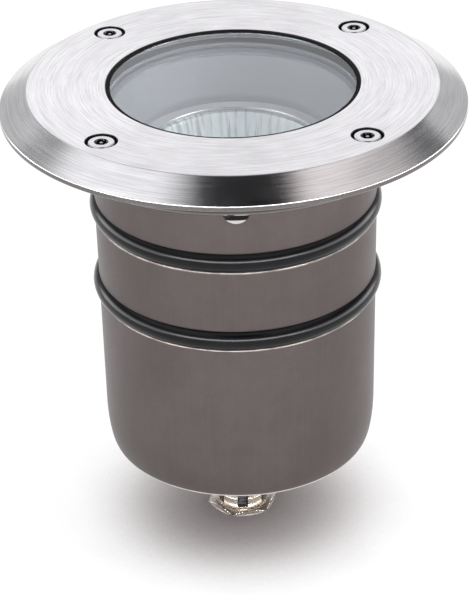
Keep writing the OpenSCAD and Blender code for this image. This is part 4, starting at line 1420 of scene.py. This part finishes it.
@dataclass
class CableGland:
    """The gland under the can: washer, body, seal, thrust ring and slotted nut."""

    finishes: Finishes
    can_z: float = -98.8
    stem_r: float = 6.0
    stem_top_z: float = -92.3
    washer_r: float = 8.0
    washer_hole_r: float = 6.15
    hex_af: float = 18.0
    hex_top_z: float = -100.3
    hex_z: float = -106.3
    neck_r: float = 8.0
    neck_z: float = -112.3
    spout_r: float = 5.45
    spout_z: float = -121.5
    bore_r: float = 3.6
    seat_r: float = 4.45
    seat_top_z: float = -112.95
    seal_r: float = 4.4
    seal_bore_r: float = 3.0
    seal_z: float = -121.0
    seal_top_z: float = -113.0
    thrust_z: float = -122.0
    nut_af: float = 17.0
    nut_turn: float = 12.0
    nut_z: float = -123.0
    nut_hex_top_z: float = -121.0
    nut_thread_r: float = 5.51
    collar_r: float = 6.96
    collar_top_z: float = -118.0
    slots: int = 6
    slot_w: float = 2.85
    slot_floor_z: float = -120.8
    pitch: float = 1.0
    thread_depth: float = 0.28

    def body(self) -> Piece:
        """Threaded stem, hexagon, neck and threaded spout of one turned bar."""
        stem = thread_span(self.stem_r, self.hex_top_z + 0.4, self.stem_top_z - 0.4, 6)
        spout = thread_span(self.spout_r, self.spout_z + 0.4, self.neck_z - 0.6, 8)
        path = ([(self.bore_r, self.stem_top_z), (self.stem_r - 0.5, self.stem_top_z)] + stem[::-1]
                + [(self.stem_r, self.hex_top_z)]
                + hexagon_side(self.hex_af, self.hex_z, self.hex_top_z)[::-1]
                + softened([(self.neck_r, self.hex_z, 0.0), (self.neck_r, self.neck_z, 0.4),
                            (self.spout_r, self.neck_z, 0.15), (self.spout_r, self.neck_z - 0.3, 0.0)], 4)
                + spout[::-1]
                + [(self.spout_r - 0.4, self.spout_z), (self.seat_r, self.spout_z),
                   (self.seat_r, self.seat_top_z), (self.bore_r, self.seat_top_z)])
        stem_share = threaded(self.stem_r, self.hex_top_z + 0.6, self.stem_top_z - 0.4)
        spout_share = threaded(self.spout_r, self.spout_z + 0.4, self.neck_z - 0.8)
        made = lathe("gland_body_turned", path, 144, warp=hexagonal(self.hex_af, self.hex_z, self.hex_top_z),
                     share=lambda r, z: max(stem_share(r, z), spout_share(r, z)))
        return cut_thread(made, self.finishes.nickel, self.pitch, self.thread_depth)

    def nut(self) -> Piece:
        """The hexagonal nut with its crown of six teeth."""
        path = ([(self.bore_r, self.nut_z)]
                + hexagon_side(self.nut_af, self.nut_z, self.nut_hex_top_z)
                + softened([(self.collar_r, self.nut_hex_top_z, 0.0),
                            (self.collar_r, self.collar_top_z, 0.35),
                            (self.nut_thread_r, self.collar_top_z, 0.2),
                            (self.nut_thread_r, self.thrust_z, 0.0), (self.bore_r, self.thrust_z, 0.1)], 4))
        made = lathe("gland_nut_crowned", path, 180,
                     warp=hexagonal(self.nut_af, self.nut_z, self.nut_hex_top_z, self.nut_turn))
        mid = (self.nut_thread_r + self.collar_r) / 2
        deep, half = 2.1, self.slot_w / 2
        slot = box_between("slot_pattern", (-deep, -half, self.slot_floor_z),
                           (deep, half, self.collar_top_z + 2))
        return cut_around(made, slot, self.slots, mid, 180.0 / self.slots)

    def washer(self) -> Piece:
        """The sealing washer, bulged where it is squeezed."""
        return lathe("gland_washer_soft", softened(band(
            self.washer_hole_r, self.washer_r, self.hex_top_z, self.can_z, 0.1, 0.4, 0.4, 0.1)), 96)

    def seal(self) -> Piece:
        """The rubber seal with a funnel at its mouth."""
        return lathe("gland_seal_soft", softened(band(
            self.seal_bore_r, self.seal_r, self.seal_top_z, self.seal_z, 0.4, 0.2, 0.15, 0.5)), 96)

    def thrust_ring(self) -> Piece:
        """The ring between the nut's floor and the seal."""
        return lathe("gland_thrust_ring_turned", softened(band(
            self.bore_r, self.seal_r, self.thrust_z, self.seal_z, 0.12, 0.12, 0.12, 0.12), 3), 96)

    def build(self) -> None:
        """Builds and dresses the gland."""
        dress = self.finishes
        settle(self.body(), Body.HOUSING, dress.nickel, "gland_body")
        settle(self.washer(), Body.HOUSING, dress.rubber, "gland_washer")
        settle(self.seal(), Body.HOUSING, dress.rubber, "gland_seal")
        settle(self.thrust_ring(), Body.FOLLOWER, dress.spring, "gland_thrust_ring")
        settle(self.nut(), Body.CAP, dress.nickel, "gland_nut")


@dataclass
class InnerWorks:
    """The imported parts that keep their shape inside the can, and get their finishes."""

    finishes: Finishes

    def build(self, nodes: dict[str, Piece]) -> None:
        """Dresses each carried-over part.

        Args:
            nodes: the frame's parts by name.
        """
        dress = self.finishes
        kept = {"lamp_base": dress.ceramic, "lamp_pins": dress.pins, "lamp_holder": dress.ceramic,
                "holder_bracket": dress.strap, "bracket_screws": dress.spring, "holder_screws": dress.spring,
                "lead_wires": dress.lead, "terminal_plate": dress.strap, "terminal_block": dress.block,
                "terminal_screws": dress.brass, "terminal_fixing_screw": dress.spring,
                "gland_locknut": dress.pins, "side_weld_nut": dress.strap,
                "glass_gasket_lower": dress.seat_gasket}
        for name, finish in kept.items():
            wear(nodes[name], finish)
            LOG.info("%s: kept, dressed in %s", name, finish.name)


# Studio

@dataclass(frozen=True)
class Patch:
    """A patch of the reflected room: its colour or its own patches, and the edges that it lies between."""

    tone: "Colour | tuple[Patch, ...]"
    edges: tuple[Edge, ...] = ()

    def mask(self, nodes: Nodes, axes: dict[str, Socket]) -> Socket:
        """One inside all edges, each of which names an axis, where the patch is none and where it is full."""
        ramps = []
        for axis, none, full in self.edges:
            rise = (0.0, 1.0, none, full) if none < full else (1.0, 0.0, full, none)
            ramps.append(nodes.spread(axes[axis], *rise, smooth=True))
        return nodes.product(*ramps)


def laid(patches: Sequence[Patch], nodes: Nodes, axes: dict[str, Socket]) -> object:
    """Lays patches over one another.

    Args:
        patches: the patches; the first one is everywhere.
        nodes: the tree to add to.
        axes: the direction's parts by the names that the edges use.

    Returns:
        The colour of the stack.
    """
    tone = patches[0].tone
    for patch in patches[1:]:
        over = laid(patch.tone, nodes, axes) if isinstance(patch.tone[0], Patch) else patch.tone
        tone = nodes.mixed(patch.mask(nodes, axes), tone, over)
    return tone


# Between the walls and the overhead: grey to the left, darker to the right
GAP = (Patch((0.34, 0.34, 0.35)), Patch((0.13, 0.13, 0.135), (("x", -0.2, 0.12),)))
# Overhead: black in the middle, white to the left, warm white and then grey to the right, grey at the back
OVERHEAD = (
    Patch((0.0, 0.0, 0.001)),
    Patch((1.02, 1.02, 1.05), (("x", -0.12, -0.34),)),
    Patch((0.90, 0.84, 0.84), (("x", 0.21, 0.32),)),
    Patch((0.46, 0.44, 0.44), (("x", 0.42, 0.60),)),
    Patch((0.60, 0.60, 0.61), (("y", 0.26, 0.44), ("x", -0.34, -0.12), ("x", 0.32, 0.21))))
# Grey walls, the gap above them, a white panel at the back, bright flanks, a light strip in front, the overhead
ROOM = (
    Patch((0.62, 0.63, 0.65)),
    Patch((0.52, 0.52, 0.53), (("y", -0.4, 0.4),)),
    Patch(GAP, (("z", 0.44, 0.56),)),
    Patch((1.05, 1.04, 1.07), (
        ("x", -0.42, -0.28), ("x", 0.30, 0.09), ("z", 0.12, 0.28), ("z", 0.64, 0.54), ("y", 0.3, 0.5))),
    Patch((5.6, 5.6, 5.7), (("x squared", 0.45, 0.75), ("z", 0.38, 0.22))),
    Patch((15.0, 15.0, 15.6), (("y", -0.45, -0.75), ("z", 0.08, 0.12), ("z", 0.32, 0.26))),
    Patch(OVERHEAD, (("z", 0.60, 0.76),)))


@dataclass
class Studio:
    """The pale floor, the soft light, the reflected room and the camera."""

    floor_z: float = -123.05
    floor_half: float = 4000.0
    # share of the floor's glow for camera and glossy rays, then the reach, span, least value, depth and warmth
    # of the painted contact shadow in that glow, and its depth for glossy rays
    floor_white: float = 0.88
    contact_reach: float = 46.0
    contact_span: Spot = (0.30, 0.78)
    contact_least: float = 0.12
    contact_depth: float = 1.5
    contact_warmth: float = 1.08
    mirrored_depth: float = 0.5
    aim_z: float = 6.0
    distance: float = 649.7
    elevation: float = 24.99
    pitch: float = 29.85
    yaw: float = -0.08
    roll: float = -1.39
    lens: float = 153.7
    sensor_w: float = 36.0
    clip_m: Spot = (0.01, 50.0)
    plain_light: Colour = (1.18, 1.18, 1.21)
    box_size: Spot = (420.0, 620.0)
    boxes_aim_z: float = -40.0
    boxes: tuple[tuple[str, Corner, float, Colour], ...] = (
        ("softbox_left", (-620.0, -160.0, 620.0), 1.6, (0.98, 0.99, 1.0)),
        ("softbox_right", (640.0, -120.0, 600.0), 5.0, (1.0, 0.98, 0.97)))

    def camera(self) -> None:
        """Stands the camera where the photograph was taken from."""
        data = bpy.data.cameras.new("camera")
        data.lens = self.lens
        data.sensor_width = self.sensor_w
        data.clip_start, data.clip_end = self.clip_m
        camera = bpy.data.objects.new("camera", data)
        bpy.context.scene.collection.objects.link(camera)
        rise, pitch, yaw, roll = (math.radians(a) for a in (self.elevation, self.pitch, self.yaw, self.roll))
        ahead = Vector((math.sin(yaw) * math.cos(pitch), math.cos(yaw) * math.cos(pitch), -math.sin(pitch)))
        side = ahead.cross(Vector((0, 0, 1))).normalized()
        up = side.cross(ahead)
        x = side * math.cos(roll) + up * math.sin(roll)
        y = up * math.cos(roll) - side * math.sin(roll)
        place = Vector((0, -math.cos(rise), math.sin(rise))) * self.distance + Vector((0, 0, self.aim_z))
        frame = Matrix((x, y, -ahead)).transposed().to_4x4()
        camera.matrix_world = Matrix.Translation(place * MM) @ frame
        bpy.context.scene.camera = camera

    def floor(self) -> None:
        """A wide pale floor that keeps the object's shadow in its lit part, and carries a painted contact
        shadow in its glow.
        """
        bm = bmesh.new()
        bmesh.ops.create_grid(bm, x_segments=8, y_segments=8, size=self.floor_half * MM)
        piece = as_object("studio_floor", bm)
        piece.data.transform(Matrix.Translation((0, 0, self.floor_z * MM)))
        shade = Shade("floor_pale_paper")
        grain = shade.noise(shade.place(), 0.02, 2.0)
        paper = shade.mixed(grain, (0.93, 0.93, 0.93), (0.95, 0.95, 0.95))
        shade.set(Base_Color=paper, Roughness=0.9, Specular_IOR_Level=0.0)
        path = shade.node("ShaderNodeLightPath").outputs
        # painted contact shadow: the glow that camera and glossy rays see is darkened near the object by
        # ambient occlusion, deepest for the camera and a little warmer in red
        near = shade.node("ShaderNodeAmbientOcclusion", Distance=self.contact_reach * MM)
        clear = shade.spread(near.outputs["AO"], 0.0, 1.0, *self.contact_span)
        depth = shade.spread(path["Is Camera Ray"], self.mirrored_depth, self.contact_depth)
        warm = shade.spread(shade.number("POWER", clear, depth), self.contact_least, 1.0)
        cool = shade.number("POWER", warm, self.contact_warmth)
        white = shade.node("ShaderNodeEmission", Color=shade.joined(warm, cool, cool))
        seen = shade.number("MAXIMUM", path["Is Camera Ray"], path["Is Glossy Ray"])
        shade.blend(shade.product(seen, self.floor_white), white.outputs[0])
        piece.data.materials.append(shade.material)

    def softbox(self, name: str, spot: Corner, power: float, colour: Colour) -> None:
        """A soft box that points at the object.

        Args:
            name: the lamp's name.
            spot: its place in millimetres.
            power: its power in watts.
            colour: its light's colour.
        """
        data = bpy.data.lights.new(name, "AREA")
        data.shape = "RECTANGLE"
        data.size, data.size_y = (side * MM for side in self.box_size)
        data.energy, data.color = power, colour
        lamp = bpy.data.objects.new(name, data)
        lamp.location = Vector(spot) * MM
        lamp.visible_glossy = False
        lamp.rotation_mode = "QUATERNION"
        aim = Vector((0, 0, self.boxes_aim_z * MM)) - lamp.location
        lamp.rotation_quaternion = aim.to_track_quat("-Z", "Y")
        bpy.context.scene.collection.objects.link(lamp)

    def surroundings(self) -> None:
        """Plain light all round, plain white for the camera, and the room for glossy rays."""
        world = bpy.data.worlds.new("studio_world")
        world.use_nodes = True
        bpy.context.scene.world = world
        nodes = Nodes(world.node_tree)
        nodes.tree.nodes.clear()
        x, y, z = nodes.parts(nodes.node("ShaderNodeTexCoord").outputs["Generated"])
        room = laid(ROOM, nodes, {"x": x, "y": y, "z": z, "x squared": nodes.product(x, x)})
        path = nodes.node("ShaderNodeLightPath").outputs
        lit = nodes.mixed(path["Is Glossy Ray"], self.plain_light, room)
        light = nodes.node("ShaderNodeBackground", Color=nodes.mixed(path["Is Camera Ray"], lit, WHITE))
        nodes.node("ShaderNodeOutputWorld", Surface=light.outputs[0])

    def build(self) -> None:
        """Sets the studio up."""
        self.camera()
        self.floor()
        self.surroundings()
        for box in self.boxes:
            self.softbox(*box)
        bpy.context.scene.view_settings.view_transform = "Standard"
        LOG.info("studio: camera %.1f mm away, lens %.1f mm", self.distance, self.lens)


def main() -> None:
    """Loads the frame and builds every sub-assembly over it."""
    logging.basicConfig(level=logging.INFO, format="%(name)s: %(message)s")
    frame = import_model()
    finishes = Finishes()
    Studio().build()
    for assembly in (TrimRing(finishes), TrimScrews(finishes), Housing(finishes), SideScrew(finishes),
                     Baffle(finishes), Lamp(finishes), CableGland(finishes)):
        assembly.build()
    InnerWorks(finishes).build(frame["nodes"])


if __name__ == "__main__":
    main()
